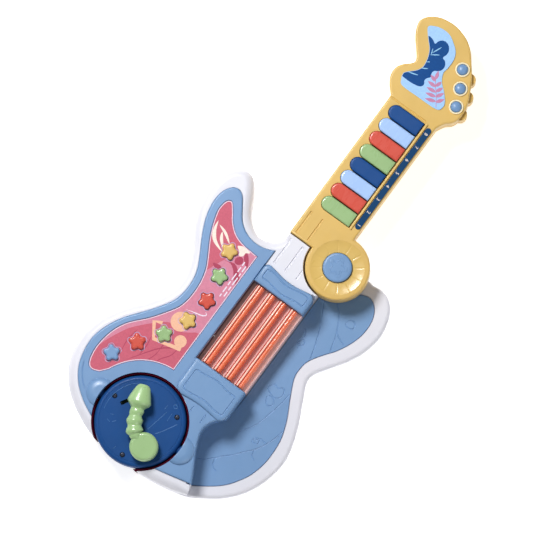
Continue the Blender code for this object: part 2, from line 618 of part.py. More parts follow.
def neck():
    """Yellow neck, hub and head in two halves."""
    outline = neck_outline()
    back = loft(
        "neck_back_shell", outline, [(NECK_BOTTOM, 1.4), (NECK_BOTTOM + 1.4, 0), (NECK_PARTING - GAP, 0)],
        "yellow", "neck_pivot", PLACES["neck_pivot"],
    )
    peg_levels = [(19.5, 0.8), (20.3, 0), (25.2, 0), (26, 0.8)]
    for number, middle in enumerate(PEGS, 1):
        join(back, loft(f"peg_{number}", circle(middle, 5.6, 16), peg_levels))
    cut(
        back,
        loft("neck_back_cavity", inset(outline, WALL), [(NECK_BOTTOM + 2.4, 0), (40, 0)]),
        loft("neck_pivot_hole", circle(HUB, PIVOT_RADIUS + 0.4, 24), [(10, 0), (40, 0)]),
    )

    front = loft(
        "neck_front_shell", outline, [(NECK_PARTING, 0), (40.8, 0.2), (NECK_TOP, 1.4)],
        "yellow", "neck_pivot", PLACES["neck_pivot"],
    )
    join(front, box("key_bar", (13.6, 257.6, 40), (15.4, 368.4, 43.2)))
    slot_low = FIRST_KEY_Y - KEY_PITCH / 2
    slot_right = KEY_HINGE_X + 0.5
    slot = [(slot_right, slot_low), (slot_right, slot_low + KEY_COUNT * KEY_PITCH)]
    for number in reversed(range(KEY_COUNT)):
        middle = (KEY_LEFT + KEY_HALF_WIDTH, FIRST_KEY_Y + KEY_PITCH * number)
        slot += arc(middle, KEY_PITCH / 2, 90, 270, 6)[:-1]
    slot.append((KEY_LEFT + KEY_HALF_WIDTH, slot_low))
    dish = loft("hub_dish", circle(HUB, 23.4, 32), [(40.8, 1.0), (60, 0)])
    holes = bmesh.new()
    for middle in HEAD_BUTTONS:
        stack(holes, [[(*point, height) for point in circle(middle, 5.3, 16)] for height in (30, 60)])
    cut(
        front,
        loft("neck_front_cavity", inset(outline, WALL), [(10, 0), (NECK_TOP - 2.6, 0)]),
        loft("key_slot", slot, [(30, 0), (60, 0)]),
        dish,
        loft("hub_button_hole", circle(HUB, 12.9, 32), [(30, 0), (60, 0)]),
        piece("head_button_holes", holes, None),
    )


def keys_and_buttons():
    for number in range(KEY_COUNT):
        y = FIRST_KEY_Y + KEY_PITCH * number
        rounded = arc((KEY_LEFT + KEY_HALF_WIDTH, y), KEY_HALF_WIDTH, 90, 270, 8)
        outline = [(KEY_HINGE_X, y - KEY_HALF_WIDTH), (KEY_HINGE_X, y + KEY_HALF_WIDTH), *rounded]
        levels = [(39.8, 0), (43.4, 0), (KEY_TOP, 1.2)]
        finish = KEY_FINISHES[number % len(KEY_FINISHES)]
        loft(f"key_{number + 1}", outline, levels, finish, "neck_pivot", (KEY_HINGE_X, y, KEY_HINGE_Z))
    for number, middle in enumerate(HEAD_BUTTONS, 1):
        levels = [(38.6, 0), (42.8, 0), (44.8, 1.6), (45.4, 3.4)]
        origin = (*middle, NECK_TOP)
        loft(f"head_button_{number}", circle(middle, 5.0, 16), levels, "blue", "neck_pivot", origin)
    levels = [(36.5, 0), (42.6, 0), (43.6, 1.6)]
    loft("hub_button", circle(HUB, 12.5, 28), levels, "blue", "neck_pivot", (*HUB, NECK_TOP))


def neck_trim():
    """Digit strip beside the keys, the head's label and the keys' board."""
    ends = 2.6
    strip = [
        *arc((18.65, 366.5 - ends), ends, 0, 180, 8), *arc((18.65, 261 + ends), ends, 180, 360, 8),
    ]
    top = NECK_TOP + GAP / 2
    origin = PLACES["neck_pivot"]
    loft("key_strip", strip, [(top, 0), (top + 0.6, 0)], "navy", "neck_pivot", origin)
    label = smooth(HEAD_LABEL_EDGE + HEAD_LABEL_EDGE[:1])[:-1]
    loft("head_label", label, [(top, 0), (top + 0.6, 0)], "pale_blue", "neck_pivot", origin)
    board = rectangle(-20, 18, 257, 369)
    loft("key_circuit_board", board, [(31, 0), (32.6, 0)], "board", "neck_pivot", origin)


def fold_pivot():
    """Post that stands on the back shell, and the plate that holds the neck down on it."""
    post = loft("fold_pivot_post", circle(HUB, 13, 24), [(2.5, 0), (5, 0)], "white")
    join(post, loft("post_shaft", circle(HUB, PIVOT_RADIUS, 24), [(4, 0), (24, 0)]))
    cut(post, loft("post_bore", circle(HUB, 1.6, 12), [(9, 0), (40, 0)]))
    plate = loft("pivot_retaining_plate", circle(HUB, 12, 24), [(24.3, 0), (26.3, 0)], "steel")
    cut(plate, loft("plate_bore", circle(HUB, 1.9, 12), [(20, 0), (40, 0)]))


def screw(name, place, up, length):
    """A cross-head screw whose head lies at place, with the head upwards (1) or downwards (-1)."""
    x, y, z = place
    levels = sorted([(z, 0.0), (z + up * 0.9, 0.2), (z + up * 1.3, 1.1)])
    body = loft(name, circle((x, y), SCREW_HEAD_RADIUS, 12), levels, "steel")
    shank = sorted([z + up * 0.3, z - up * length])
    join(body, loft(name + "_shank", circle((x, y), SCREW_SHANK_RADIUS, 8), [(shank[0], 0), (shank[1], 0)]))
    recess = sorted([z + up * 0.7, z + up * 3])
    for turn, (wide, tall) in enumerate(((1.5, 0.35), (0.35, 1.5))):
        slot = rectangle(x - wide, x + wide, y - tall, y + tall)
        cut(body, loft(f"{name}_cross_{turn}", slot, [(recess[0], 0), (recess[1], 0)]))


def inner_works():
    """What the body holds: main board, speaker, batteries under their cover, and the power switch."""
    board = [
        (-92, 50), (-80, 46), (-68, 66), (-40, 76), (-30, 76), (-30, 190), (-62, 190), (-56, 150),
        (-60, 112), (-86, 80),
    ]
    loft("main_circuit_board", board, [(24, 0), (25.6, 0)], "board")
    speaker = [(2.6, 0), (5, 0), (10, 12), (16, 12.4)]
    loft("speaker", circle((-50, 168), 20, 20), speaker, "black")
    for number in range(3):
        x = -57 + 11.4 * number
        cell = [(0, 4.8), (0.5, 5.2), (43, 5.2), (43.5, 4.4), (43.6, 2.1), (44.5, 1.9)]
        start = (x, 71, 8)
        rod(f"battery_{number + 1}", start, (x, 121, 8), cell, 14, "steel")
    cover = rectangle(-64.6, -26.4, 68.4, 119.6)
    loft("battery_cover", cover, [(0.2, 0.6), (0.8, 0), (2.2, 0)], "white")
    x, y = SWITCH
    knob = rectangle(x - 1.9, x + 1.9, y - 4.6, y + 0.2)
    loft("power_switch_knob", knob, [(0.3, 0.3), (0.7, 0), (4.5, 0)], "black", origin=(x, y - 2.2, 2))


def screws():
    for number, place in enumerate(BODY_SCREWS, 1):
        screw(f"body_screw_{number}", (*place, 1.4), -1, 20)
    screw("pivot_screw", (*HUB, 26.6), 1, 10)


def screw_holes(name, radius, low, high):
    """One round cutter for each screw that closes the body."""
    return [
        loft(f"{name}_screw_hole_{number}", circle(place, radius, 12), [(low, 0), (high, 0)])
        for number, place in enumerate(BODY_SCREWS, 1)
    ]


def main():
    clear_scene()
    make_finishes()
    make_parents()
    back_shell()
    front_shell()
    top_panel()
    deck_panel()
    string_bay()
    stars_and_label()
    light_ring()
    cradles()
    flip_disc()
    lever()
    neck()
    keys_and_buttons()
    neck_trim()
    fold_pivot()
    inner_works()
    screws()


main()
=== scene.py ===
"""Looks of the folding toy guitar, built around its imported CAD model.

Lengths are in the drawing's own millimetres: +X across the neck, +Y towards the head, +Z out of the face.
"""

import json
import math

import bmesh
import bpy
from mathutils import Matrix, Vector


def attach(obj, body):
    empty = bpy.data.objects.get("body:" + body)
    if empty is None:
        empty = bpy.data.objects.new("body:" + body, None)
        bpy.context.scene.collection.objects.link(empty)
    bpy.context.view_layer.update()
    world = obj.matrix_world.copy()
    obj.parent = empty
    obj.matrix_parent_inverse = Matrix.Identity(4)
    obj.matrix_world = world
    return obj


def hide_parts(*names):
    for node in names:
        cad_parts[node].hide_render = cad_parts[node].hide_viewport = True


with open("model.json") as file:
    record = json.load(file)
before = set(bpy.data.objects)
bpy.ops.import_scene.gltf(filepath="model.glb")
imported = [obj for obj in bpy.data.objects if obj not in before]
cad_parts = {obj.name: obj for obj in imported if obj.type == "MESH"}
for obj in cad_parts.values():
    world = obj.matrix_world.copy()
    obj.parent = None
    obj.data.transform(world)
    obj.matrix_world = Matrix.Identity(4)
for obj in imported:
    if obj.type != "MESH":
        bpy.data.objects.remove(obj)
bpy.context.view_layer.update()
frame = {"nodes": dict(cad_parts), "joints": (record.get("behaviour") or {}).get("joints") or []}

MM = 0.001
GAP = 0.3
THROUGH = [(30, 0), (60, 0)]

# Heights
PARTING = 12.0
DECK_TOP = 15.2
LOW_RIM_TOP = 16.0
SHELF_BOTTOM = 35.8
SHELF_TOP = 38.2
SHELL_TOP = 40.5
PANEL_TOP = 42.5
LABEL_FLOOR = 41.0
LABEL_TOP = 41.7
WALL = 2.4
BLOCK_TOP = 45.0
COVER_TOP = 34.0
NECK_BOTTOM = 17.5
NECK_PARTING = 28.0
NECK_TOP = 42.0
TRIM_TOP = 42.75

# Places in plan
HUB = (25.2, 225.2)
HUB_RADIUS = 27.5
HUB_CLEARANCE = 28.5
PIVOT_HOLE_RADIUS = 8.4
DISC = (-31.8, 22.5)
DISC_AXIS_Z = 33.5
DISC_RADIUS = 39.0
DISC_FACE = 42.0
DISC_HOLE_RADIUS = 41.5
TRUNNION_RADIUS = 5.1
TRUNNION_ROOM = TRUNNION_RADIUS + 0.4
TRUNNION_REACH = 46.4
DOME_RADIUS = 12.3
RING_OUTER = 41.25
RING_INNER = 39.95
RING_FOOT = 35.5
RING_ENDS_DEG = (-63, 237)
DISC_SCREWS = ((-8.8, 43.6), (-62, 27.4), (-27.2, -8.9))
LEVER = (-16.0, 7.0)
LEVER_AXIS_Z = 51.2
LEVER_REST_DEG = 128.6
LEVER_SLOT_RADIUS = 42.0
LEVER_SWING_DEG = 23.0
BLOCK_LEFT = -25.2
BLOCK_RIGHT = 25.0
STRING_X = (-17.0, -5.6, 5.9, 17.4)
STRINGS_Y = (94.8, 174.5)
NECK_LEFT = -25.2
NECK_RIGHT = 22.6
NECK_END = 226.4
KEY_PITCH = 13.68
KEY_HALF_WIDTH = 6.4
FIRST_KEY_Y = 264.8
KEY_LEFT = -19.0
KEY_RIGHT = 12.5
STRIP_X = 18.65
SWITCH = (-50.0, 137.0)
BODY_SCREWS = ((-93.0, 216.0), (-103.2, 52.0), (20.0, 3.5), (-6.0, 206.0))

# Outlines, each in the order of a walk with the solid on the left hand
LOW_EDGE_RIGHT = [
    (-31, -14.4), (-14.5, -13.2), (0, -12), (13, -10.2), (26, -7.2), (36, -4), (45.4, 1.6), (60, 12),
    (72, 25.6), (80, 41.6), (84.3, 61), (83.3, 77), (76.7, 97.6), (66, 120), (60, 133), (60.5, 142),
    (67.7, 153.6), (78.2, 169.6), (85, 186), (87.2, 203), (83, 220.5), (75, 230.5), (66, 233.8), (57, 233),
]
LEFT_EDGE = [
    (-25.4, 219.5), (-29.5, 213.5), (-36.5, 209.1), (-44.2, 207.6), (-51.2, 210.4), (-58.1, 216),
    (-63.3, 223), (-69.4, 234.2), (-77.1, 244.6), (-85, 247.2), (-93, 244), (-99, 236.5), (-102.3, 226),
    (-103, 213), (-100.8, 198), (-94.8, 184), (-86.8, 172), (-80.2, 159), (-76.2, 147), (-75.2, 138),
    (-76.6, 129), (-80, 120), (-88, 108), (-98, 96), (-106, 84), (-112, 71), (-115, 57), (-114.8, 45),
    (-112.2, 32), (-106.8, 21), (-98.5, 10.8), (-86.2, 1.5), (-72, -5.8), (-60, -10.2), (-48, -13),
]
STEP = [(34.6, 3), (28, 16.5), (21, 29), (16.3, 39.5), (14.3, 47), (15.7, 55), (20.5, 62.3), (25, 67.5)]
DECK_EDGE = [
    (39.1, 9.1), (50.3, 17.3), (58.1, 25), (63.5, 33), (68.1, 41.6), (71.6, 54), (72.5, 66), (71.1, 81.6),
    (65.5, 97.6), (57.1, 113.6), (49.9, 129), (48.7, 138), (50.4, 148), (57, 159), (64.8, 169.6),
    (71, 182), (74.4, 195), (73.9, 208), (69.5, 217.6), (62.5, 222.6), (54, 221.2), (47.3, 215.6),
]
PANEL_BOTTOM = [(-60, 0), (-10, -3.5), (3, -1.9), (17, 1.2)]
PANEL_LEFT = [
    (-25.6, 206), (-32, 203), (-41, 201.3), (-50.3, 202.6), (-58, 206.1), (-64.2, 211.5), (-70.2, 220),
    (-75.4, 227), (-80.6, 229.9), (-86.5, 228), (-91, 221.5), (-92.7, 212), (-91.5, 201), (-88, 190),
    (-82.8, 179), (-76.5, 168), (-71.3, 158.5), (-67.8, 149), (-66.7, 139), (-67.6, 129), (-70.5, 120),
    (-78, 108), (-87, 96), (-96, 84), (-102.2, 72), (-106, 60), (-106.5, 50), (-104.3, 37), (-99.5, 26),
    (-91.2, 16), (-80.5, 8.2), (-69, 2.5),
]
LABEL_EDGE = [
    (-34.5, 193), (-42, 193.6), (-50, 194.3), (-59.5, 197.3), (-68, 204), (-74, 212), (-79.5, 218),
    (-84, 215.5), (-85.3, 207), (-83.6, 199), (-80, 189), (-75.7, 180), (-69.9, 170), (-64.5, 160),
    (-61.5, 150), (-60.4, 140), (-60.7, 130), (-63.1, 120), (-69.1, 110), (-77.5, 98), (-86.5, 88),
    (-92.4, 80), (-97, 69), (-99.3, 56), (-98.8, 45), (-96, 36.5), (-91, 33.8), (-84.5, 36),
]
LABEL_ARC_RADIUS = 51.3
HEAD_EDGE = [
    (22.6, 370), (26.4, 377.3), (31, 381.6), (33.5, 387.9), (33.5, 395.6), (31.8, 403.3), (27.4, 412.4),
    (21.9, 422.4), (14.8, 431.5), (7.9, 439.9), (-0.1, 446), (-7.8, 449.1), (-15.4, 450.6),
    (-24.1, 450.2), (-32.9, 447.7), (-40.1, 442.2), (-43.1, 435), (-39.5, 425.2), (-33.1, 417.5),
    (-27.7, 410.6), (-25.6, 406), (-27.6, 402.5), (-32.4, 398.1), (-35.8, 392.2), (-35.8, 384.8),
    (-32.1, 377.8), (-25.2, 371),
]
HEAD_LABEL_EDGE = [
    (16.5, 387.8), (15, 392.7), (9.5, 399), (3.2, 404.6), (-0.3, 411.6), (0.4, 417), (0.2, 425.6),
    (-2.4, 432), (-8, 437), (-15, 441), (-22, 441.7), (-29, 440), (-34, 436), (-29, 429), (-22, 421.4),
    (-18.5, 413.7), (-17.4, 406), (-20, 400.4), (-25.5, 394.8), (-27.6, 391.3), (-26, 386.4),
    (-22, 382.5), (-6, 382.4), (13, 383),
]
STARS = [
    ("blue", (-85.5, 55.0), 275), ("red", (-73.6, 75.0), 272), ("green", (-59.3, 93.7), 272),
    ("yellow", (-49.8, 114.7), 0), ("red", (-46.9, 137.8), 88), ("green", (-50.7, 160.5), 95),
    ("yellow", (-56.5, 182.4), 98),
]
STAR_RADIUS = 7.2
KEY_FINISHES = ("green", "red", "pale_blue", "navy")
HEAD_BUTTONS = ((11.2, 423.4), (19.2, 409.1), (25.5, 394.5))
PEGS = ((20.5, 420.5), (27.8, 407.0), (31.8, 392.3))
PEG_RADIUS = 5.6

FOLD = next(joint for joint in frame["joints"] if joint["name"] == "neck_fold")
SHIFT = Vector((FOLD["pos_m"][0] / MM - HUB[0], FOLD["pos_m"][1] / MM - HUB[1], 0))


# ---------------------------------------------------------------- materials

def linear(rgb):
    """Linear colour from 0 to 255 screen values."""
    shares = [value / 255 for value in rgb]
    return tuple(s / 12.92 if s <= 0.04045 else ((s + 0.055) / 1.055) ** 2.4 for s in shares)


def fill(node, inputs):
    """Sets a node's inputs by name, with _ for a space."""
    for name, value in inputs.items():
        node.inputs[name.replace("_", " ")].default_value = value
    return node


class Nodes:
    """Short names for building a material."""

    def __init__(self, name):
        self.material = bpy.data.materials.new(name)
        self.material.use_nodes = True
        self.tree = self.material.node_tree
        self.shader = self.tree.nodes["Principled BSDF"]
        self.where = self.tree.nodes.new("ShaderNodeTexCoord").outputs["Object"]

    def link(self, out, socket):
        self.tree.links.new(out, socket)

    def node(self, kind, **inputs):
        return fill(self.tree.nodes.new(kind), inputs)

    def set(self, **inputs):
        fill(self.shader, inputs)

    def feed(self, name, out):
        """Lets a node drive one of the shader's inputs."""
        self.link(out, self.shader.inputs[name])

    def noise(self, scale, detail=2.0, roughness=0.5, stretch=None):
        """Noise over the object's own metres; stretch scales each direction."""
        node = self.node("ShaderNodeTexNoise", Scale=scale, Detail=detail, Roughness=roughness)
        where = self.where
        if stretch:
            mapping = self.node("ShaderNodeMapping", Scale=stretch)
            self.link(where, mapping.inputs["Vector"])
            where = mapping.outputs["Vector"]
        self.link(where, node.inputs["Vector"])
        return node.outputs["Fac"]

    def ramp(self, fac, stops):
        """Colour ramp; stops are (position, colour)."""
        node = self.node("ShaderNodeValToRGB")
        elements = node.color_ramp.elements
        while len(elements) < len(stops):
            elements.new(0.5)
        for element, (position, colour) in zip(elements, stops):
            element.position = position
            element.color = (*colour, 1)
        self.link(fac, node.inputs["Fac"])
        return node.outputs["Color"]

    def spread(self, fac, low, high):
        """The noise's middle range spread over low to high."""
        node = self.node("ShaderNodeMapRange", From_Min=0.3, From_Max=0.7, To_Min=low, To_Max=high)
        self.link(fac, node.inputs["Value"])
        return node.outputs["Result"]

    def bump(self, height, distance, strength, normal=None):
        node = self.node("ShaderNodeBump", Distance=distance, Strength=strength)
        self.link(height, node.inputs["Height"])
        if normal:
            self.link(normal, node.inputs["Normal"])
        return node.outputs["Normal"]


def moulded(name, rgb, roughness, grain=0.00003, tint=0.06, coat=0.0, inner=0.0, painted_glow=0.0, shine=0.5):
    """Injection-moulded plastic: fine grain, slow waves, slight changes of tone, and light scuffing, with an
    optional glow of its own colour that is painted light.
    """
    nodes = Nodes(name)
    base = Vector(linear(rgb))
    stops = [(0.3, tuple(base * (1 - tint))), (0.5, tuple(base)), (0.72, tuple(base * (1 + tint / 2)))]
    nodes.feed("Base Color", nodes.ramp(nodes.noise(26, 3, 0.55), stops))
    scuff = nodes.noise(210, 4, 0.65, (1.0, 0.35, 1.0))
    nodes.feed("Roughness", nodes.spread(scuff, roughness - 0.05, roughness + 0.07))
    waves = nodes.bump(nodes.noise(34, 1, 0.4), 0.00012, 0.6)
    nodes.feed("Normal", nodes.bump(nodes.noise(1900, 2, 0.6), grain, 0.7, waves))
    nodes.set(IOR=1.5, Coat_Weight=coat, Coat_Roughness=0.08, Specular_IOR_Level=shine)
    if inner:
        nodes.set(Subsurface_Weight=inner, Subsurface_Radius=(0.004, 0.003, 0.0025), Subsurface_Scale=1.0)
    # painted light: emission of the base colour makes the plastic glow though it is no lamp
    if painted_glow:
        nodes.set(Emission_Color=(*base, 1), Emission_Strength=painted_glow)
    return nodes.material


def printed(name, rgb):
    """Ink on film: fine dots of tone under a thin gloss."""
    nodes = Nodes(name)
    base = Vector(linear(rgb))
    stops = [(0.35, tuple(base * 0.95)), (0.65, tuple(base * 1.05))]
    nodes.feed("Base Color", nodes.ramp(nodes.noise(640, 2, 0.5), stops))
    nodes.feed("Roughness", nodes.spread(nodes.noise(90, 3), 0.37, 0.47))
    nodes.feed("Normal", nodes.bump(nodes.noise(120, 2), 0.00004, 0.4))
    nodes.set(Specular_IOR_Level=0.14)
    return nodes.material


def metal(name, rgb, roughness):
    """Plated steel with fine scratches along X."""
    nodes = Nodes(name)
    base = Vector(linear(rgb))
    stops = [(0.3, tuple(base * 0.8)), (0.7, tuple(base * 1.1))]
    nodes.feed("Base Color", nodes.ramp(nodes.noise(300, 3, 0.6), stops))
    scratch = nodes.noise(900, 3, 0.7, (0.08, 1.0, 1.0))
    nodes.feed("Roughness", nodes.spread(scratch, roughness - 0.08, roughness + 0.12))
    nodes.feed("Normal", nodes.bump(scratch, 0.00003, 0.5))
    nodes.set(Metallic=1.0)
    return nodes.material


def board_green(name):
    """Lacquered circuit board with copper tracks showing through."""
    nodes = Nodes(name)
    tracks = nodes.node(
        "ShaderNodeTexBrick", Scale=260, Mortar_Size=0.03, Color1=(0.010, 0.085, 0.030, 1),
        Color2=(0.014, 0.110, 0.040, 1), Mortar=(0.050, 0.230, 0.090, 1),
    )
    nodes.link(nodes.where, tracks.inputs["Vector"])
    nodes.feed("Base Color", tracks.outputs["Color"])
    nodes.feed("Roughness", nodes.spread(nodes.noise(400, 2), 0.25, 0.4))
    nodes.feed("Normal", nodes.bump(tracks.outputs["Fac"], 0.00004, 0.5))
    return nodes.material


MATERIALS = {name: moulded(f"{name}_abs", rgb, roughness, **more) for name, rgb, roughness, more in (
    ("white", (229, 229, 238), 0.38, {"tint": 0.03}),
    ("blue", (118, 155, 199), 0.36, {}),
    ("pale_blue", (170, 202, 250), 0.26, {"coat": 0.3}),
    ("navy", (30, 77, 140), 0.34, {"shine": 0.2}),
    ("disc_navy", (28, 76, 138), 0.38, {"shine": 0.16}),
    ("disc_mark", (62, 108, 166), 0.38, {"shine": 0.16}),
    ("yellow", (222, 184, 102), 0.36, {}),
    ("yellow_gloss", (224, 188, 106), 0.3, {"coat": 0.15}),
    ("pale_yellow", (250, 236, 196), 0.34, {}),
    ("green", (156, 190, 132), 0.28, {"coat": 0.3}),
    ("lever_green", (164, 200, 140), 0.3, {"coat": 0.35}),
    ("red", (214, 84, 68), 0.28, {"coat": 0.3}),
    ("black", (28, 28, 30), 0.5, {}),
)}
# The clear pink cover and orange bars carry a glow of their own colour: painted light for light passing through
# them.
MATERIALS |= {name: moulded(name, rgb, roughness, **more) for name, rgb, roughness, more in (
    ("rose_clear", (255, 206, 200), 0.3, {"coat": 0.2, "tint": 0.03, "inner": 0.1, "painted_glow": 0.05}),
    ("orange_clear", (240, 122, 84), 0.24, {"grain": 0.00001, "coat": 0.4, "inner": 0.2, "painted_glow": 0.05}),
    # Darker orange for the bars' steep sides and valleys: painted shade.
    ("orange_painted_shade", (188, 70, 54), 0.34, {"grain": 0.00001, "tint": 0.08, "painted_glow": 0.05}),
    # Paler, glowing orange for the bars' ribs: a painted highlight.
    ("orange_painted_highlight", (255, 204, 186), 0.26, {"grain": 0.00001, "tint": 0.05, "coat": 0.4, "painted_glow": 0.1}),
    ("maroon_clear", (70, 12, 32), 0.5, {"tint": 0.12, "shine": 0.0}),
)}
MATERIALS |= {name: printed(name, rgb) for name, rgb in (
    ("ink_pink", (214, 136, 160)), ("ink_rose", (203, 100, 120)), ("ink_rose_dark", (176, 72, 98)),
    ("ink_peach", (242, 190, 160)), ("ink_cream", (246, 232, 220)), ("ink_white", (238, 226, 240)),
    ("ink_sky", (166, 206, 250)), ("ink_navy", (16, 74, 140)), ("ink_fern", (200, 136, 172)),
    ("ink_strip", (12, 64, 108)), ("ink_lilac", (186, 174, 208)), ("ink_vein", (150, 205, 240)),
)}
MATERIALS |= {
    "board": board_green("green_board"),
    "steel": metal("plated_steel", (178, 180, 186), 0.32),
    # Darkened steel for the disc's screw heads: painted shade standing in for the shade in their wells.
    "screw_dark": metal("steel_painted_shade", (70, 74, 88), 0.4),
}


# ---------------------------------------------------------------- outlines

def spline(around, steps):
    """Points on a smooth curve through all but the first and the last point, which only bend its ends."""
    curve = []
    for four in zip(around, around[1:], around[2:], around[3:]):
        a, b, c, d = map(Vector, four)
        for step in range(steps):
            t = step / steps
            bend = (2 * a - 5 * b + 4 * c - d) * t**2 + (3 * b - a - 3 * c + d) * t**3
            curve.append(tuple(0.5 * (2 * b + (c - a) * t + bend)))
    return curve


def smooth(points, steps=6):
    """A smooth open curve through the points."""
    return [*spline([points[0], *points, points[-1]], steps), tuple(points[-1])]


def loop(points, steps=6):
    """A smooth closed curve through the points."""
    return spline([points[-1], *points, points[0], points[1]], steps)


def shut(line):
    """The line led back to its first point."""
    return [*line, line[0]]


def arc(centre, radius, start, end, steps):
    """Points on an arc, from start to end in degrees."""
    turns = [math.radians(start + (end - start) * step / steps) for step in range(steps + 1)]
    return [(centre[0] + radius * math.cos(t), centre[1] + radius * math.sin(t)) for t in turns]


def circle(centre, radius, sides=48):
    return arc(centre, radius, 0, 360, sides)[:-1]


def rectangle(left, right, low, high):
    return [(left, low), (right, low), (right, high), (left, high)]


def rounded(left, right, low, high, radius, steps=6):
    """A rectangle with round corners."""
    corners = ((right - radius, low + radius, -90), (right - radius, high - radius, 0),
               (left + radius, high - radius, 90), (left + radius, low + radius, 180))
    return [point for x, y, start in corners for point in arc((x, y), radius, start, start + 90, steps)]


def star(centre, radius, point_deg, plump=0.73):
    """A plump five-pointed star with round tips and valleys."""
    outline = []
    for tip in range(5):
        for turn, reach in ((-13, 0.95), (0, 1.0), (13, 0.95), (36, plump)):
            outline += arc(centre, radius * reach, point_deg + 72 * tip + turn, 0, 1)[:1]
    return loop(outline, 5)


def toward(start, end):
    """The direction from start to end."""
    return (Vector(end) - Vector(start)).normalized()


def untangle(original, moved):
    """Pulls together points whose order an inset has reversed."""
    count = len(moved)
    for _ in range(60):
        clean = True
        for index in range(count):
            after = (index + 1) % count
            step = Vector(moved[after]) - Vector(moved[index])
            if step.dot(Vector(original[after]) - Vector(original[index])) < -1e-9:
                clean = False
                middle = (Vector(moved[after]) + Vector(moved[index])) / 2
                moved[index] = moved[after] = tuple(middle)
        if clean:
            break
    return moved


def inset(outline, distance, weights=None):
    """The outline with each point moved inwards by distance, or outwards where it is negative."""
    if not distance:
        return list(outline)
    moved = []
    for index, here in enumerate(outline):
        before = toward(outline[index - 1], here)
        after = toward(here, outline[(index + 1) % len(outline)])
        inward = Vector((-before.y - after.y, before.x + after.x)).normalized()
        stretch = 1 / max(0.6, inward.x * -before.y + inward.y * before.x)
        weight = weights[index] if weights else 1
        shift = Vector(weight) if isinstance(weight, tuple) else inward * weight * stretch
        moved.append(tuple(Vector(here) + shift * distance))
    return untangle(outline, moved)


def beside(points, distance):
    """The open line moved to its left by distance."""
    moved = []
    for index, here in enumerate(points):
        along = toward(points[max(index - 1, 0)], points[min(index + 1, len(points) - 1)])
        moved.append((here[0] - along.y * distance, here[1] + along.x * distance))
    return moved


def rounding(low, top, radius, steps=6):
    """Levels of a straight side that ends in a quarter round of that radius."""
    turns = [math.pi / 2 * step / steps for step in range(steps + 1)]
    return [(low, 0), *[(top - radius + radius * math.sin(t), radius * (1 - math.cos(t))) for t in turns]]


def bulge(base, rise, draw, degrees):
    """Levels of a round side that rises from base while the outline draws in."""
    return [(base + rise * math.sin(t), draw * (1 - math.cos(t))) for t in map(math.radians, degrees)]


# ---------------------------------------------------------------- solids

def stack(bm, rings):
    """Closes a solid over rings of points that all have the same count."""
    rings = [[bm.verts.new(point) for point in ring] for ring in rings]
    bm.faces.new(reversed(rings[0]))
    bm.faces.new(rings[-1])
    for low, high in zip(rings, rings[1:]):
        for index in range(len(low)):
            after = (index + 1) % len(low)
            bm.faces.new((low[index], low[after], high[after], high[index]))


def placed(name, data):
    obj = bpy.data.objects.new(name, data)
    bpy.context.scene.collection.objects.link(obj)
    return obj


def solid(name, bm):
    """Makes an object in the frame's metres from a mesh in the drawing's millimetres."""
    bmesh.ops.remove_doubles(bm, verts=bm.verts, dist=1e-4)
    bmesh.ops.transform(bm, matrix=Matrix.Scale(MM, 4) @ Matrix.Translation(SHIFT), verts=bm.verts)
    mesh = bpy.data.meshes.new(name)
    bm.to_mesh(mesh)
    bm.free()
    return placed(name, mesh)


def lofts(name, shapes):
    """Solids in one object; levels are heights and how far the outline has drawn in there."""
    bm = bmesh.new()
    for outline, levels, *weights in shapes:
        stack(bm, [[(*point, height) for point in inset(outline, far, *weights)] for height, far in levels])
    return solid(name, bm)


def loft(name, outline, levels, weights=None):
    return lofts(name, [(outline, levels, weights)])


def discs(name, places, radius, sides, levels):
    """Round lofts of one kind at several places."""
    return lofts(name, [(circle(place, radius, sides), levels) for place in places])


def rod(name, start, end, levels, sides):
    """A round solid from start to end: levels are (distance, radius)."""
    bm = bmesh.new()
    along = toward(start, end)
    across = Vector((0, 0, 1)).cross(along).normalized()
    up = along.cross(across)
    turns = [math.tau * side / sides for side in range(sides)]
    rings = []
    for distance, radius in levels:
        middle = Vector(start) + along * distance
        rings.append([middle + across * radius * math.cos(t) + up * radius * math.sin(t) for t in turns])
    stack(bm, rings)
    return solid(name, bm)


def tube(bm, line, radius, height, closed, squash):
    """A thin bead along a line at that height, for a groove or a raised mark."""
    sides = 8
    rings = []
    count = len(line)
    for index, here in enumerate(line):
        before = line[index - 1] if index or closed else here
        after = line[(index + 1) % count] if index < count - 1 or closed else here
        along = toward(before, after)
        across = Vector((-along.y, along.x))
        ring = []
        for side in range(sides):
            t = math.tau * side / sides
            spot = Vector(here) + across * radius * math.cos(t)
            ring.append(bm.verts.new((spot.x, spot.y, height + radius * squash * math.sin(t))))
        rings.append(ring)
    pairs = list(zip(rings, rings[1:])) + ([(rings[-1], rings[0])] if closed else [])
    for low, high in pairs:
        for side in range(sides):
            after = (side + 1) % sides
            bm.faces.new((low[after], low[side], high[side], high[after]))
    if not closed:
        bm.faces.new(rings[0])
        bm.faces.new(reversed(rings[-1]))


def beads(name, lines, radius, height, squash=1.0):
    """One object of several beads; a line that ends where it starts is closed."""
    bm = bmesh.new()
    for line in lines:
        closed = (Vector(line[0]) - Vector(line[-1])).length < 1e-6
        tube(bm, line[:-1] if closed else line, radius, height, closed, squash)
    bmesh.ops.recalc_face_normals(bm, faces=bm.faces)
    return solid(name, bm)


def combine(target, tools, operation):
    """Applies Booleans at once and removes the tools."""
    for tool in tools:
        modifier = target.modifiers.new("boolean", "BOOLEAN")
        modifier.operation = operation
        modifier.object = tool
        modifier.use_self = "self" in tool
    return applied(target, tools)


def applied(target, tools=()):
    bpy.context.view_layer.update()
    graph = bpy.context.evaluated_depsgraph_get()
    mesh = bpy.data.meshes.new_from_object(target.evaluated_get(graph), depsgraph=graph)
    target.modifiers.clear()
    target.data = mesh
    for tool in tools:
        bpy.data.objects.remove(tool)
    return target


def cut(target, *tools):
    return combine(target, tools, "DIFFERENCE")


def join(target, *tools):
    return combine(target, tools, "UNION")


def crossing(tool):
    """Marks a tool whose parts cross one another."""
    tool["self"] = True
    return tool


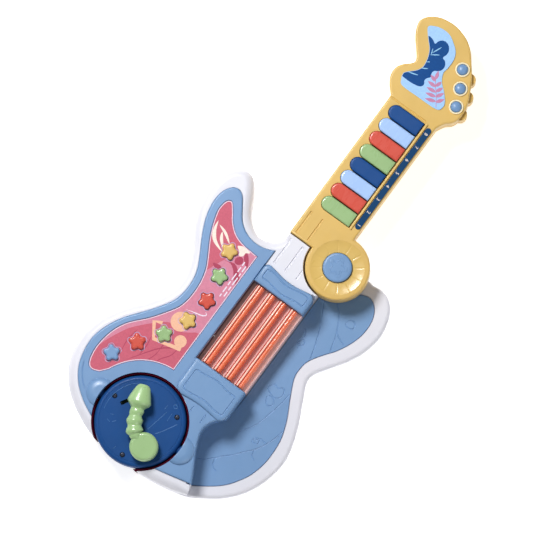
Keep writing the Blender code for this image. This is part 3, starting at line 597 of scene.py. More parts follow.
def show(obj, body, finishes, replaces=None, angle=32):
    """Finishes a piece: smooth shading, materials, the CAD node it replaces, and the body it rides on."""
    marks = [face.material_index for face in obj.data.polygons]
    finishes = [finishes] if isinstance(finishes, str) else finishes
    obj.data.materials.clear()
    for finish in finishes:
        obj.data.materials.append(MATERIALS[finish])
    if finishes[1:]:
        obj.data.polygons.foreach_set("material_index", marks)
    obj.data.shade_smooth()
    obj.data.set_sharp_from_angle(angle=math.radians(angle))
    weighted = obj.modifiers.new("normals", "WEIGHTED_NORMAL")
    weighted.keep_sharp = True
    weighted.weight = 80
    if replaces:
        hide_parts(replaces)
    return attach(obj, body)


# ---------------------------------------------------------------- outlines of the parts

def low_outline():
    lobe = arc(HUB, 25, 22, 172, 30)
    return [*smooth(LOW_EDGE_RIGHT), *lobe, (-25.2, 226), *smooth(LEFT_EDGE)]


def raised_outline(with_stub_edge=True):
    """The white raised side and how far each point of it takes part in the rounding."""
    right = [(35.4, -4), (33.5, 5.0), *beside(smooth(STEP, 4)[1:], 3.0), (21.8, 71)]
    if with_stub_edge:
        right += [(21.8, 193.8), (25, 193.8), *arc(HUB, HUB_CLEARANCE, 270, 180, 24)]
    else:
        right += arc(HUB, HUB_CLEARANCE, 263, 180, 24)
    bottom, left = smooth(LOW_EDGE_RIGHT[:5]), smooth(LEFT_EDGE)
    outline = [*bottom, *right, (-3.3, 226), (-25.2, 226), *left]
    weights = [1.0] * len(bottom) + [(0.02, 0.6)] + [0.12] * (len(right) + 1) + [1.0] * len(left)
    return outline, weights


def panel_outline():
    return [
        *PANEL_BOTTOM, (34.2, 5.4), *smooth(STEP)[3:], (25, 93.9), (-25.6, 93.9), *smooth(PANEL_LEFT),
    ]


def deck_outline():
    return [
        *smooth(DECK_EDGE), *arc(HUB, 24.2, -27, -86, 14), (25.4, 199), (25.4, 94.2),
        *reversed(beside(smooth(STEP, 4)[1:], 1.2)), (34.4, 6.3),
    ]


def label_outline():
    return [*smooth(LABEL_EDGE), *arc(DISC, LABEL_ARC_RADIUS, 157, 95, 24), (-34.5, 73.8)]


def neck_outline():
    meeting = math.degrees(math.acos((NECK_RIGHT - HUB[0]) / HUB_RADIUS))
    return [(NECK_LEFT, NECK_END), *arc(HUB, HUB_RADIUS, 177.5, 360 + meeting, 60), *smooth(HEAD_EDGE)]


def wavy(left, right, height, depth, corner=0.0):
    """A line from right to left that dips once in the middle and falls away at round corners."""
    steps = 40
    line = []
    for step in range(steps + 1):
        share = 0.5 - 0.5 * math.cos(math.pi * step / steps)
        into = corner - min(share, 1 - share) * (right - left)
        fall = corner - math.sqrt(corner**2 - into**2) if into > 0 else 0
        line.append((right - share * (right - left), height - depth * math.cos(math.tau * (share - 0.5)) - fall))
    return line


def disc_hole(radius=DISC_HOLE_RADIUS):
    return loft("disc_hole", circle(DISC, radius, 128), [(-2, 0), (60, 0)])


def trunnion_slot():
    half = TRUNNION_ROOM
    turns = [-math.pi * step / 16 for step in range(1, 16)]
    round_end = [(half * math.cos(t), half * math.sin(t)) for t in turns]
    profile = [(half, 30.0), (half, 0.0), *round_end, (-half, 0.0), (-half, 30.0)]
    bm = bmesh.new()
    reach = TRUNNION_REACH + 1
    stack(bm, [
        [(DISC[0] + x, DISC[1] + across, DISC_AXIS_Z + up) for across, up in reversed(profile)]
        for x in (-reach, reach)
    ])
    return solid("trunnion_slot", bm)


def screw_holes(radius, low, high):
    return discs("screw_holes", BODY_SCREWS, radius, 24, [(low, 0), (high, 0)])


def star_holes():
    return lofts("star_holes", [(star(middle, STAR_RADIUS + 0.55, turn), THROUGH) for _, middle, turn in STARS])


# ---------------------------------------------------------------- body

def back_shell():
    levels = [(0, 3.0), (0.2, 2.2), (0.7, 1.3), (1.5, 0.6), (2.6, 0.2), (4, 0), (PARTING, 0)]
    shell = loft("back_shell_fine", low_outline(), levels)
    cavity = loft("cavity", inset(low_outline(), WALL), [(2.2, 0), (PARTING + 2, 0)])
    floor = [(-2, 0), (6, 0)]
    hatch = loft("hatch", rounded(-65, -26, 68, 120, 2), floor)
    slots = []
    for row in range(5):
        x = -66 + 8 * row
        half = 15 - 1.6 * abs(row - 2) ** 2
        slots.append((rounded(x - 1.3, x + 1.3, 168 - half, 168 + half, 1.25), floor))
    x, y = SWITCH
    switch_slot = loft("switch_slot", rectangle(x - 2.2, x + 2.2, y - 5, y + 5), floor)
    cut(shell, cavity, disc_hole(), hatch, lofts("slots", slots), switch_slot,
        screw_holes(3.2, -2, 1.7), screw_holes(1.6, -2, 6))
    show(shell, "body", "white", "body_back_shell")


SIDE_ROUNDING = [(33, 0), *bulge(33, 7.5, 8.2, range(9, 90, 9))]


def front_shell():
    outline, weights = raised_outline()
    shell = loft("front_shell_fine", outline, [(PARTING + 0.08, 0), *SIDE_ROUNDING], weights)
    rim = loft("low_rim", [
        (30, -5), *smooth(LOW_EDGE_RIGHT[5:]), *arc(HUB, 25, 22, 150, 24),
        *arc(HUB, 30, 170, 262, 16), (21, 192), (21, 72), *reversed(beside(smooth(STEP, 4), 4.0)),
    ], [(PARTING + 0.08, 0), (13.4, 0), (14.3, 0.2), (15.1, 0.7), (15.7, 1.5), (15.95, 2.4), (LOW_RIM_TOP, 3.2)])
    inner = inset(raised_outline(False)[0], WALL)
    cavity = loft("cavity", inner, [(PARTING - 2, 0), (SHELF_BOTTOM, 0)])
    seat = loft("panel_seat", inset(panel_outline(), -GAP), [(SHELF_TOP, 0), (60, 0)])
    window = loft("panel_window", inset(label_outline(), 1.5), THROUGH)
    bay = loft("string_bay", [
        (BLOCK_LEFT - 0.4, 94.1), (32, 94.1), (32, 186), *wavy(BLOCK_LEFT - 0.4, BLOCK_RIGHT + 0.4, 192.5, 1.5, 5),
    ], [(LOW_RIM_TOP, 0), (60, 0)])
    edge, step = smooth(DECK_EDGE), smooth(STEP, 4)
    deck_seat = loft("deck_seat", [
        *inset(edge, -GAP)[1:-1], *arc(HUB, 23.9, -27, -84, 14), (25.1, 199), (25.1, 67),
        *reversed(step[1:-4]), (33.9, 5.6), (34.8, 5.9),
    ], [(LOW_RIM_TOP - 2.7, 0), (20, 0)])
    well = loft("deck_well", inset([
        *edge, *arc(HUB, 24.2, -27, -84, 14), (28, 199), (28, 70), *reversed(step[1:]),
    ], 3.0), [(5, 0), (20, 0)])
    past_end = step[1:]
    wall_room = loft("wall_room", [
        *beside(past_end, -1), (26.5, 95), (22.1, 95), *reversed(beside(past_end, 2.6)),
    ], [(LOW_RIM_TOP - 2.7, 0), (60, 0)])
    post_hole = loft("post_hole", circle(HUB, PIVOT_HOLE_RADIUS), [(5, 0), (20, 0)])
    grooves = beads("stub_grooves", [
        [(-20.5, 196.5), (-20.5, 222.5)], [(-8.7, 196.5), (-8.7, 222.5)], [(3.1, 196.5), (3.1, 206)],
    ], 1.0, SHELL_TOP)
    join(shell, rim)
    cut(shell, cavity)
    cut(shell, seat, window, bay, deck_seat, well, post_hole, disc_hole(), trunnion_slot(), grooves, wall_room)
    show(shell, "body", "white", "body_front_shell", angle=38)


def top_panel():
    levels = [(SHELF_TOP + GAP, 0), *rounding(SHELF_TOP + GAP, PANEL_TOP, 1.6, 6)[1:]]
    panel = loft("top_panel_fine", panel_outline(), levels)
    for side in (-1, 1):
        middle = (DISC[0] + side * 41.2, DISC[1])
        turn = 90 if side < 0 else -90
        flat_end = [(DISC[0] + side * 36, DISC[1] + end) for end in (side * DOME_RADIUS, -side * DOME_RADIUS)]
        outline = [*arc(middle, DOME_RADIUS, turn, turn + 180, 32), *flat_end]
        dome = [(40, 0), (PANEL_TOP - 0.3, 0), *bulge(PANEL_TOP, 3.5, 8.6, range(0, 90, 10))]
        join(panel, loft("dome", outline, dome))
    bed = loft("label_bed", label_outline(), [
        (LABEL_FLOOR, 0), (PANEL_TOP - 0.4, 0), (PANEL_TOP + 0.1, -0.5), (60, -0.5),
    ])
    reach = TRUNNION_REACH + 1
    ends = [(DISC[0] + side * reach, DISC[1], DISC_AXIS_Z) for side in (-1, 1)]
    groove = rod("groove", *ends, [(0, TRUNNION_ROOM), (2 * reach, TRUNNION_ROOM)], 32)
    lines = beads("panel_lines", [
        [(-3.0, 53), (-3.0, 59.6)], [(9.5, 51), (9.5, 59.6)],
        smooth([(-100, 36), (-97, 29), (-91.5, 22), (-86, 17.5)]),
    ], 0.6, PANEL_TOP + 0.05)
    cut(panel, disc_hole(), bed, star_holes(), groove, lines)
    show(panel, "body", "blue", "top_panel")


def low(*points):
    """Deck marks, moved from where they seem to lie at the panel's height to where they are."""
    return [(x - 2.7, y + 1.6) for x, y in points]


def cloud(points):
    """A closed irregular outline."""
    return shut(loop(points, 4))


def deck():
    levels = [(LOW_RIM_TOP - 2.4, 0.3), (DECK_TOP - 0.5, 0.3), (DECK_TOP - 0.15, 0.45), (DECK_TOP, 0.8)]
    panel = loft("deck_fine", deck_outline(), levels)
    step = smooth(STEP, 4)[1:]
    wall = [*step, (25, 93.9), (22.6, 93.9), *reversed(beside(step, 2.2))]
    join(panel, loft("step_wall", wall, [(LOW_RIM_TOP - 2.4, 0), (SHELF_TOP, 0)]))
    vines = [smooth(low(*points)) for points in (
        ((33, 197), (39, 186), (45, 174), (50, 161), (53.4, 149)),
        ((41, 203), (50, 195), (58, 181), (63.4, 164)),
        ((57, 115), (56, 104), (54, 95), (50.7, 81), (46, 71), (41.8, 65)),
        ((71, 86), (69, 77), (66, 69), (61, 60), (54, 52), (49, 45.5), (43, 40), (38.2, 34.6), (32, 29),
         (25.7, 25.7)),
        ((66, 69), (60, 70), (57, 67)),
        ((61, 60), (62, 54), (66, 52.5)),
        ((38.2, 34.6), (40, 28), (45, 26)),
        ((34, 168), (38, 163), (37.4, 157), (39.5, 151)),
        ((58, 181), (63, 178), (69, 176)),
    )]
    shapes = [cloud(low(*points)) for points in (
        ((39, 109), (42, 114.5), (46, 113.4), (50.5, 116), (53, 111), (51, 106.4), (47, 105), (42.6, 106.6)),
        ((44, 99), (43, 102.6), (46.4, 104.2), (50, 102), (50.4, 98), (47, 96.4)),
        ((61, 190), (60.4, 194.4), (64, 197), (67.4, 194.6), (66.8, 190.6)),
        ((37, 153.4), (36.6, 157.4), (40, 159), (42, 155.6)),
        ((55, 64), (55.4, 68), (59, 68.6), (60, 65)),
    )]
    grooves = crossing(beads("deck_grooves", [*vines, *shapes], 0.6, DECK_TOP + 0.12))
    cut(panel, grooves)
    show(panel, "body", "blue", "deck_panel")


def blocks():
    """The two blocks at the ends of the strum bars, each with a wavy side and an engraved outline."""
    top = [(42.8, 0.2), (43.3, 0), (43.9, 0.15), (44.4, 0.6), (44.75, 1.3), (44.93, 2.2), (BLOCK_TOP, 3.4)]
    lower = [(x, 124 - y) for x, y in reversed(wavy(BLOCK_LEFT, BLOCK_RIGHT, 61.9, 1.0, 7))]
    outline = [(BLOCK_LEFT, 94.0), *lower, (BLOCK_RIGHT, 94.0)]
    bridge = loft("bridge_fine", outline, top)
    frame_line = [
        *arc((19, 68.6), 2, 270, 360, 5), *arc((19, 84.2), 2, 0, 90, 5),
        *wavy(-17, 17, 86.9, -1.0), *arc((-17.6, 84.0), 2, 90, 180, 5),
        *arc((-17.6, 68.6), 2, 180, 270, 5), *reversed(wavy(-15, 17, 67.4, -0.9)),
    ]
    cut(bridge, disc_hole(DISC_HOLE_RADIUS + 0.1), beads("bridge_line", [shut(frame_line)], 0.65, BLOCK_TOP))
    show(bridge, "body", "blue", "bridge_block")

    outline = [(BLOCK_LEFT, 175.2), (BLOCK_RIGHT, 175.2), *wavy(BLOCK_LEFT, BLOCK_RIGHT, 192.1, 1.5, 5)]
    upper = loft("upper_block_fine", outline, [(LOW_RIM_TOP + GAP, 0), *top[1:]])
    hollow = loft("hollow", rectangle(BLOCK_LEFT + 4, BLOCK_RIGHT - 4, 177.2, 187), [(10, 0), (40, 0)])
    frame_line = [
        *arc((19.4, 182.7), 2, 285, 360, 4), *arc((19.4, 187.6), 2, 0, 75, 4),
        *wavy(-17, 17, 188.4, 1.3), *arc((-19, 187.6), 2, 105, 180, 4),
        *arc((-19, 182.7), 2, 180, 255, 4), *reversed(wavy(-17, 17, 179.9, 1.1)),
    ]
    cut(upper, hollow, beads("upper_line", [shut(frame_line)], 0.65, BLOCK_TOP))
    show(upper, "body", "blue", "upper_string_block")


def strum_bars():
    """Clear bars: each has a steep side, a narrow rib and a broad rounded back; the steep side is painted darker as
    shade and the rib paler as a highlight.
    """
    low_end, high_end = STRINGS_Y
    outline = rectangle(BLOCK_LEFT, BLOCK_RIGHT, 94.3, 174.9)
    cover = loft("light_cover_fine", outline, [(LOW_RIM_TOP + GAP, 0), (33.4, 0), (33.8, 0.2), (COVER_TOP, 0.6)])
    cut(cover, loft("hollow", rectangle(-19.2, BLOCK_RIGHT - 2, 96.3, 172.9), [(10, 0), (COVER_TOP - 2, 0)]),
        loft("channel", rectangle(-30, -21.6, 90, 180), [(26, 0), (40, 0)]))
    show(cover, "body", "rose_clear", "string_light_cover")
    foot = 34.3
    steep = [(-3.7, foot), (-3.7, 36.6), (-3.5, 38.4), (-3.05, 39.6), (-2.6, 40.3)]
    rib = [(-2.45, 40.85), (-2.15, 41.3), (-1.6, 41.4), (-1.05, 41.2), (-0.85, 40.75)]
    valley = [(-0.75, 40.3), (-0.5, 40.15), (-0.25, 40.3)]
    back = [
        (0.0, 40.7), (0.7, 41.1), (1.5, 41.15), (2.2, 40.9), (2.9, 40.3), (3.4, 39.3), (3.7, 37.8), (3.7, foot),
    ]
    profile = [*steep, *rib, *valley, *back]
    # Face marks: 1 is the darker orange of painted shade on the steep side, valley and underside, 2 the paler
    # orange of a painted highlight on the rib, 0 the plain orange back.
    marks = [1] * len(steep) + [2] * (len(rib) - 1) + [1] * (len(valley) + 1) + [0] * (len(back) - 1)
    stations = (
        (low_end, 0.6), (low_end + 0.4, 0.1), (low_end + 1, 0),
        (high_end - 1, 0), (high_end - 0.4, 0.1), (high_end, 0.6),
    )
    # The plain orange, the darker orange of painted shade and the paler orange of a painted highlight.
    finishes = ("orange_clear", "orange_painted_shade", "orange_painted_highlight")
    for number, x in enumerate(STRING_X, 1):
        bm = bmesh.new()
        rings = []
        for y, drop in stations:
            rings.append([bm.verts.new((x + across, y, max(foot, up - drop))) for across, up in profile])
        bm.faces.new(rings[0])
        bm.faces.new(reversed(rings[-1]))
        for near, far in zip(rings, rings[1:]):
            for index in range(len(profile)):
                after = (index + 1) % len(profile)
                face = bm.faces.new((near[after], near[index], far[index], far[after]))
                face.material_index = marks[index] if index < len(marks) else 1
        bmesh.ops.recalc_face_normals(bm, faces=bm.faces)
        bar = solid(f"strum_bar_{number}", bm)
        show(bar, f"string_{number}", finishes, f"string_{number}", angle=50)


def star_buttons():
    for number, (finish, middle, turn) in enumerate(STARS, 1):
        outline = star(middle, STAR_RADIUS, turn)
        levels = [(37, 0), (43.4, 0), (43.9, 0.1), (44.3, 0.35), (44.6, 0.75), (44.82, 1.3), (44.9, 1.9)]
        button = loft(f"star_{number}", outline, levels)
        show(button, f"star_button_{number}", finish, f"star_button_{number}", angle=60)


def light_ring():
    """Thin wall round the disc up to the white side, with a lip at its foot."""
    outer = arc(DISC, RING_OUTER, *RING_ENDS_DEG, 110)
    wall = [*outer, *arc(DISC, RING_INNER, *reversed(RING_ENDS_DEG), 110)]
    ring = loft("light_ring_fine", wall, [(0.6, 0), (40.7, 0), (40.9, 0.25)])
    side, weights = raised_outline()
    levels = [(0, 1.5), (2, 0.1)] + [(height + 0.4, far) for height, far in SIDE_ROUNDING]
    inside = loft("inside", side, levels, weights)
    foot = [*outer, *arc(DISC, RING_FOOT, *reversed(RING_ENDS_DEG), 110)]
    join(ring, loft("ring_foot", foot, [(0.6, 0), (2.4, 0), (2.8, 0.4)]))
    combine(ring, [inside], "INTERSECT")
    cut(ring, trunnion_slot())
    show(ring, "body", "maroon_clear", "disc_light_ring")


# ---------------------------------------------------------------- printed labels

def prints(name, body, finish, shapes, top, clip=None):
    """Flat ink shapes with a film's thickness on a label, cut to the label's outline."""
    height = top + prints.lift
    prints.lift += 0.012
    levels = [(top - 0.2, 0), (height, 0)]
    first, *others = [loft(f"{name}_{number}", shape, levels) for number, shape in enumerate(shapes)]
    if others:
        join(first, *others)
    if clip:
        combine(first, [loft("clip", clip, [(top - 0.15, 0), (height + 1, 0)])], "INTERSECT")
    first.name = name
    show(first, body, finish)


prints.lift = 0.02


def band(line, width):
    """An outline of that width round an open line, with tapering ends where width is a list."""
    widths = width if isinstance(width, (list, tuple)) else [width] * len(line)
    left, right = [], []
    for index, here in enumerate(line):
        before, after = line[max(index - 1, 0)], line[min(index + 1, len(line) - 1)]
        along = toward(before, after)
        across = Vector((-along.y, along.x)) * widths[index] / 2
        left.append(tuple(Vector(here) + across))
        right.append(tuple(Vector(here) - across))
    return [*right, *reversed(left)]


def tapered(points, width):
    """A curved stroke that is widest in its middle."""
    line = smooth(points, 4)
    last = len(line) - 1
    return band(line, [0.15 + width * math.sin(math.pi * index / last) for index in range(last + 1)])


def leaf(start, end, width):
    """A leaf shape from start to end."""
    a, b = Vector(start), Vector(end)
    shares = [step / 8 for step in range(9)]
    widths = [0.1 + width * math.sin(math.pi * min(1, share ** 0.8)) for share in shares]
    return band([tuple(a.lerp(b, share)) for share in shares], widths)


def body_label():
    outline = inset(label_outline(), GAP)
    label = loft("label_film", outline, [(LABEL_FLOOR + 0.15, 0), (LABEL_TOP, 0)])
    cut(label, star_holes())
    show(label, "body", "ink_pink", "body_label")
    clip = inset(outline, 0.9)
    prints("print_rose", "body", "ink_rose", [
        loop([(-99, 52), (-97, 40), (-88, 30), (-60, 60), (-30, 70), (-30, 106), (-37, 111), (-42, 108),
              (-50, 103.5), (-60, 105), (-69, 99), (-80, 88), (-89, 76)], 3),
        loop([(-86, 219), (-87, 204), (-84, 192), (-79, 182), (-72, 172), (-64, 158), (-60, 165), (-55, 176),
              (-48, 186), (-44, 197), (-60, 200), (-74, 216)], 3),
    ], LABEL_TOP, clip)
    prints("print_rose_dark", "body", "ink_rose_dark", [
        loop([(-44.8, 189.8), (-42, 189.4), (-38, 184.8), (-35.8, 179.6), (-39, 181.2), (-43.5, 185.3)], 3),
        loop([(-48.6, 181.5), (-45.6, 184.8), (-42.4, 183.4), (-41.6, 180), (-44.5, 177.3), (-47.8, 178)], 3),
        loop([(-56, 173.8), (-50, 175), (-44, 171.2), (-40.5, 166.4), (-35.8, 162.8), (-35.4, 168), (-40, 173),
              (-47, 176.8)], 3),
        loop([(-62, 166.5), (-56, 168.5), (-50.5, 166), (-56, 163.8)], 3),
        tapered([(-72, 58), (-64, 70), (-55, 82), (-45, 89), (-37, 90)], 0.9),
        tapered([(-66, 67), (-65.5, 77), (-67, 86)], 0.7), tapered([(-55, 81), (-54.5, 88), (-56, 101)], 0.7),
        tapered([(-52, 62), (-50, 74), (-43.5, 84), (-42.6, 100)], 0.7),
        tapered([(-80, 60), (-81.5, 72), (-79.5, 84)], 0.7),
        tapered([(-61, 61), (-55.4, 74), (-54.6, 82)], 0.6),
    ], LABEL_TOP, clip)
    prints("print_peach", "body", "ink_peach", [
        circle((-54.4, 110.4), 8.4, 48), circle((-44.6, 96.8), 5.3, 40),
        band([(-66, 100.6), (-72.6, 97.6), (-64.3, 85.4), (-40.2, 91.4)], 3.3),
    ], LABEL_TOP, clip)
    prints("print_cream", "body", "ink_cream", [
        tapered([(-79.6, 198.4), (-77.2, 189.5), (-71.4, 182.6), (-61, 178.6)], 3.2),
        tapered([(-76.4, 196), (-68.4, 193.2), (-60, 187.6)], 2.2),
        tapered([(-71.2, 192.6), (-68.2, 187.2), (-62.2, 181.4)], 2.6),
        loop([(-53.6, 190.4), (-50, 192.6), (-45, 193.2), (-41.6, 191.4), (-44.5, 189.4), (-44.6, 186.4),
              (-47.5, 184.4), (-50, 187.5)], 3),
    ], LABEL_TOP, clip)
    rows = (
        (-40.6, ((147, 3), (151.4, 6), (158.8, 4), (164.2, 7), (172.6, 5), (179, 4))),
        (-37.6, ((149, 5), (155.4, 4), (160.8, 8), (170.2, 3), (174.6, 6))),
    )
    marks = [rounded(x - 0.55, x + 0.55, y, y + long, 0.5, 3) for x, row in rows for y, long in row]
    rims = [band(shut(star(middle, STAR_RADIUS + 1.15, turn)), 0.5) for _, middle, turn in STARS]
    prints("print_star_rims", "body", "ink_lilac", rims, LABEL_TOP)
    edge = inset(outline, 0.5)
    border = band([*edge[2:], edge[0]], 0.55)
    curl = tapered([(-57, 121.4), (-50, 123.4), (-42.8, 125.2), (-40.2, 127.8), (-42.4, 129.4)], 0.8)
    prints("print_white", "body", "ink_white", [*marks, border, curl], LABEL_TOP)


def head_label():
    outline = loop(HEAD_LABEL_EDGE, 6)
    film = loft("head_film", outline, [(NECK_TOP + 0.15, 0), (TRIM_TOP, 0)])
    show(film, "neck", "ink_sky", "head_label")
    clip = inset(outline, 0.35)
    prints("head_print_navy", "neck", "ink_navy", [
        loop([(-29, 429.6), (-24.2, 429.4), (-20.6, 427.6), (-19.6, 430.8), (-17.2, 433.6), (-13.6, 434.3),
              (-9.8, 432.6), (-7.4, 429), (-7.3, 425.4), (-8.3, 421.8), (-5.2, 420.6), (-2.9, 417.6), (-2.5, 413.8),
              (-4.4, 410.5), (-7.6, 408.4), (-8.2, 405.4), (-6.8, 402.6), (-9, 399.6), (-9.4, 396.8),
              (-7.8, 394.2), (-8.6, 391.4), (-11.6, 389.8), (-17, 388.9), (-23, 388.8), (-30, 389.8), (-30, 394),
              (-24, 400), (-21, 404), (-21, 414), (-24, 421)], 3),
    ], TRIM_TOP, clip)
    prints("head_print_veins", "neck", "ink_vein", [tapered(points, width) for width, points in (
        (0.7, [(-19.8, 423.4), (-18.6, 420.2), (-18, 418.4)]), (0.8, [(-18, 420), (-16.2, 424), (-14.4, 428.4)]),
        (0.8, [(-18.4, 417.6), (-15, 420), (-11.8, 422.2)]), (0.6, [(-17.4, 410.8), (-15, 412.6)]),
        (0.8, [(-18, 404.2), (-15.4, 405.4), (-12.8, 407)]), (0.8, [(-26, 394.8), (-21, 396), (-16.4, 397.6)]),
    )], TRIM_TOP, clip)
    up, out, root = Vector((-0.593, 0.805)), Vector((0.805, 0.593)), Vector((11.7, 384.4))
    stalk = [tuple(root + up * height + out * 0.35 * math.sin(height / 5)) for height in range(0, 28, 2)]
    fronds = [band(stalk, 0.5)]
    for height, reach, rise in (
        (4.6, -9.4, 2.8), (8.6, -8.8, 3.7), (12.5, -7.8, 4.6), (17.0, -6.6, 5.2), (21.8, -4.2, 5.6),
        (23.4, 2.4, 7.4), (4.0, 7.4, 2.5), (8.6, 7.2, 3.1), (13.0, 6.2, 3.4), (17.6, 5.2, 4.0),
    ):
        foot = root + up * height
        fronds.append(leaf(foot, foot + out * reach + up * rise, 3.0))
    prints("head_print_fern", "neck", "ink_fern", fronds, TRIM_TOP, clip)


def key_strip():
    strip = [*arc((STRIP_X, 366.5 - 2.6), 2.6, 0, 180, 20), *arc((STRIP_X, 261 + 2.6), 2.6, 180, 360, 20)]
    film = loft("key_strip_fine", strip, [(NECK_TOP + 0.15, 0), (TRIM_TOP - 0.15, 0), (TRIM_TOP, 0.15)])
    show(film, "neck", "ink_strip", "key_strip")
    for number in range(8):
        name = f"digit_{number + 1}"
        text = bpy.data.curves.new(name, "FONT")
        text.body = str(number + 1)
        text.size = 4.3 * MM
        text.extrude = 0.03 * MM
        text.align_x = "CENTER"
        text.align_y = "CENTER"
        obj = placed(name, text)
        place = (Vector((STRIP_X, FIRST_KEY_Y + KEY_PITCH * number, TRIM_TOP)) + SHIFT) * MM
        obj.matrix_world = Matrix.Translation(place) @ Matrix.Rotation(math.radians(-90), 4, "Z")
        bpy.context.view_layer.update()
        mesh = bpy.data.meshes.new_from_object(obj)
        mesh.transform(obj.matrix_world)
        bpy.data.objects.remove(obj)
        bm = bmesh.new()
        bm.from_mesh(mesh)
        bmesh.ops.remove_doubles(bm, verts=bm.verts, dist=1e-6)
        bm.to_mesh(mesh)
        bm.free()
        show(placed(name, mesh), "neck", "ink_cream")


# ---------------------------------------------------------------- disc and lever

def disc_edge(side):
    """Heights and insets of the disc's rounded rim on one side of its middle."""
    turns = [math.radians(10 * step) for step in range(10)]
    levels = [(DISC_AXIS_Z + side * 0.15, 0)] + [
        (DISC_AXIS_Z + side * (4.6 + 3.9 * math.sin(t)), 3.2 * (1 - math.cos(t))) for t in turns
    ]
    return sorted(levels)


def disc():
    """Two halves that meet in the middle plane, each with half of the trunnions and three screws."""
    for name, side in (("front", 1), ("back", -1)):
        half = loft(f"disc_{name}_fine", circle(DISC, DISC_RADIUS, 128), disc_edge(side))
        start, end = [(DISC[0] + s * TRUNNION_REACH, DISC[1], DISC_AXIS_Z) for s in (-1, 1)]
        length = 2 * TRUNNION_REACH
        chamfer = ((0, 0.7), (0.25, 0.2), (0.7, 0), (length - 0.7, 0), (length - 0.25, 0.2), (length, 0.7))
        axle = rod("axle", start, end, [(distance, TRUNNION_RADIUS - less) for distance, less in chamfer], 40)
        plane = DISC_AXIS_Z + side * 0.15
        other = sorted((DISC_AXIS_Z - side * 9, plane))
        keep_out = loft("other_side", rectangle(-90, 30, DISC[1] - 9, DISC[1] + 9), [(other[0], 0), (other[1], 0)])
        hollow = sorted((DISC_AXIS_Z - side * 10, DISC_AXIS_Z + side * 6))
        join(half, axle)
        cut(half, keep_out, loft("hollow", circle(DISC, DISC_RADIUS - 6, 64), [(hollow[0], 0), (hollow[1], 0)]))
        face = DISC_AXIS_Z + side * 8.5
        wells = discs("wells", DISC_SCREWS, 2.3, 32, sorted([(face - side * 2.0, 0), (face + side * 2, 0)]))
        step_ring = beads("face_ring", [shut(circle(DISC, 34.8, 120))], 0.34, face + side * 0.1)
        tools = [wells, step_ring]
        if side > 0:
            angles = (LEVER_REST_DEG - 3, LEVER_REST_DEG + LEVER_SWING_DEG + 3)
            outer = arc(LEVER, LEVER_SLOT_RADIUS + 1.6, *angles, 24)
            slot = [*outer, *arc(LEVER, LEVER_SLOT_RADIUS - 1.6, *reversed(angles), 24)]
            tools += [loft("slot", slot, THROUGH), loft("bore", circle(LEVER, 3.4), THROUGH)]
        cut(half, *tools)
        show(half, "disc", "disc_navy", f"disc_{name}_half")
        levels = sorted([(face - side * 2.05, 0), (face - side * 1.2, 0), (face - side * 0.9, 0.7)])
        # The screw heads take the darkened steel: painted shade for the shade in the screw wells.
        heads = discs(f"disc_{name}_screws", DISC_SCREWS, 2.0, 24, levels)
        levels = sorted([(face - side * 1.5, 0), (face, 0)])
        crosses = [
            (rectangle(x - wide, x + wide, y - tall, y + tall), levels)
            for x, y in DISC_SCREWS for wide, tall in ((1.3, 0.3), (0.3, 1.3))
        ]
        cut(heads, crossing(lofts("crosses", crosses)))
        show(heads, "disc", "screw_dark")
    crescent = arc(DISC, 32.2, 128, 196, 24)
    rays = [
        [(-18.3, 42), (-20.4, 32), (-22.8, 20.8)], [(-5.1, 38.8), (-9.6, 30.4), (-15.4, 21.2)],
        [(-21.3, 43), (-21.0, 47)], [(-14, 44), (-13.6, 36)], [(-55.6, 8), (-52.4, 7.2)], [(-55.8, 13), (-53, 14)],
        [(-36.4, -9.4), (-36.0, -6.2)], [(-50.8, 8.6), (-48.6, 11)], [(-13.4, 50.8), (-16.8, 51.6)],
    ]
    dot = cloud([(-16.8, 50), (-15, 51.8), (-13.2, 50), (-15, 48.4)])
    marks = beads("disc_marks", [crescent, *[smooth(ray, 3) for ray in rays], dot], 0.3, DISC_FACE, squash=0.7)
    show(marks, "disc", "disc_mark")


def bent_rod(name, rings, sides, flat):
    """A round solid through rings of X, Y, heading in degrees and radius; flat squeezes its height."""
    places = smooth([(x, y, heading) for x, y, heading, _ in rings], 4)
    radii = smooth([(radius, 0) for *_, radius in rings], 4)
    turns = [math.tau * side / sides for side in range(sides)]
    bm = bmesh.new()
    loops = []
    for (x, y, heading), (radius, _) in zip(places, radii):
        turn = math.radians(heading)
        across = Vector((-math.sin(turn), math.cos(turn), 0)) * radius
        up = Vector((0, 0, radius * flat))
        loops.append([Vector((x, y, LEVER_AXIS_Z)) + across * math.cos(t) + up * math.sin(t) for t in turns])
    stack(bm, loops)
    return solid(name, bm)


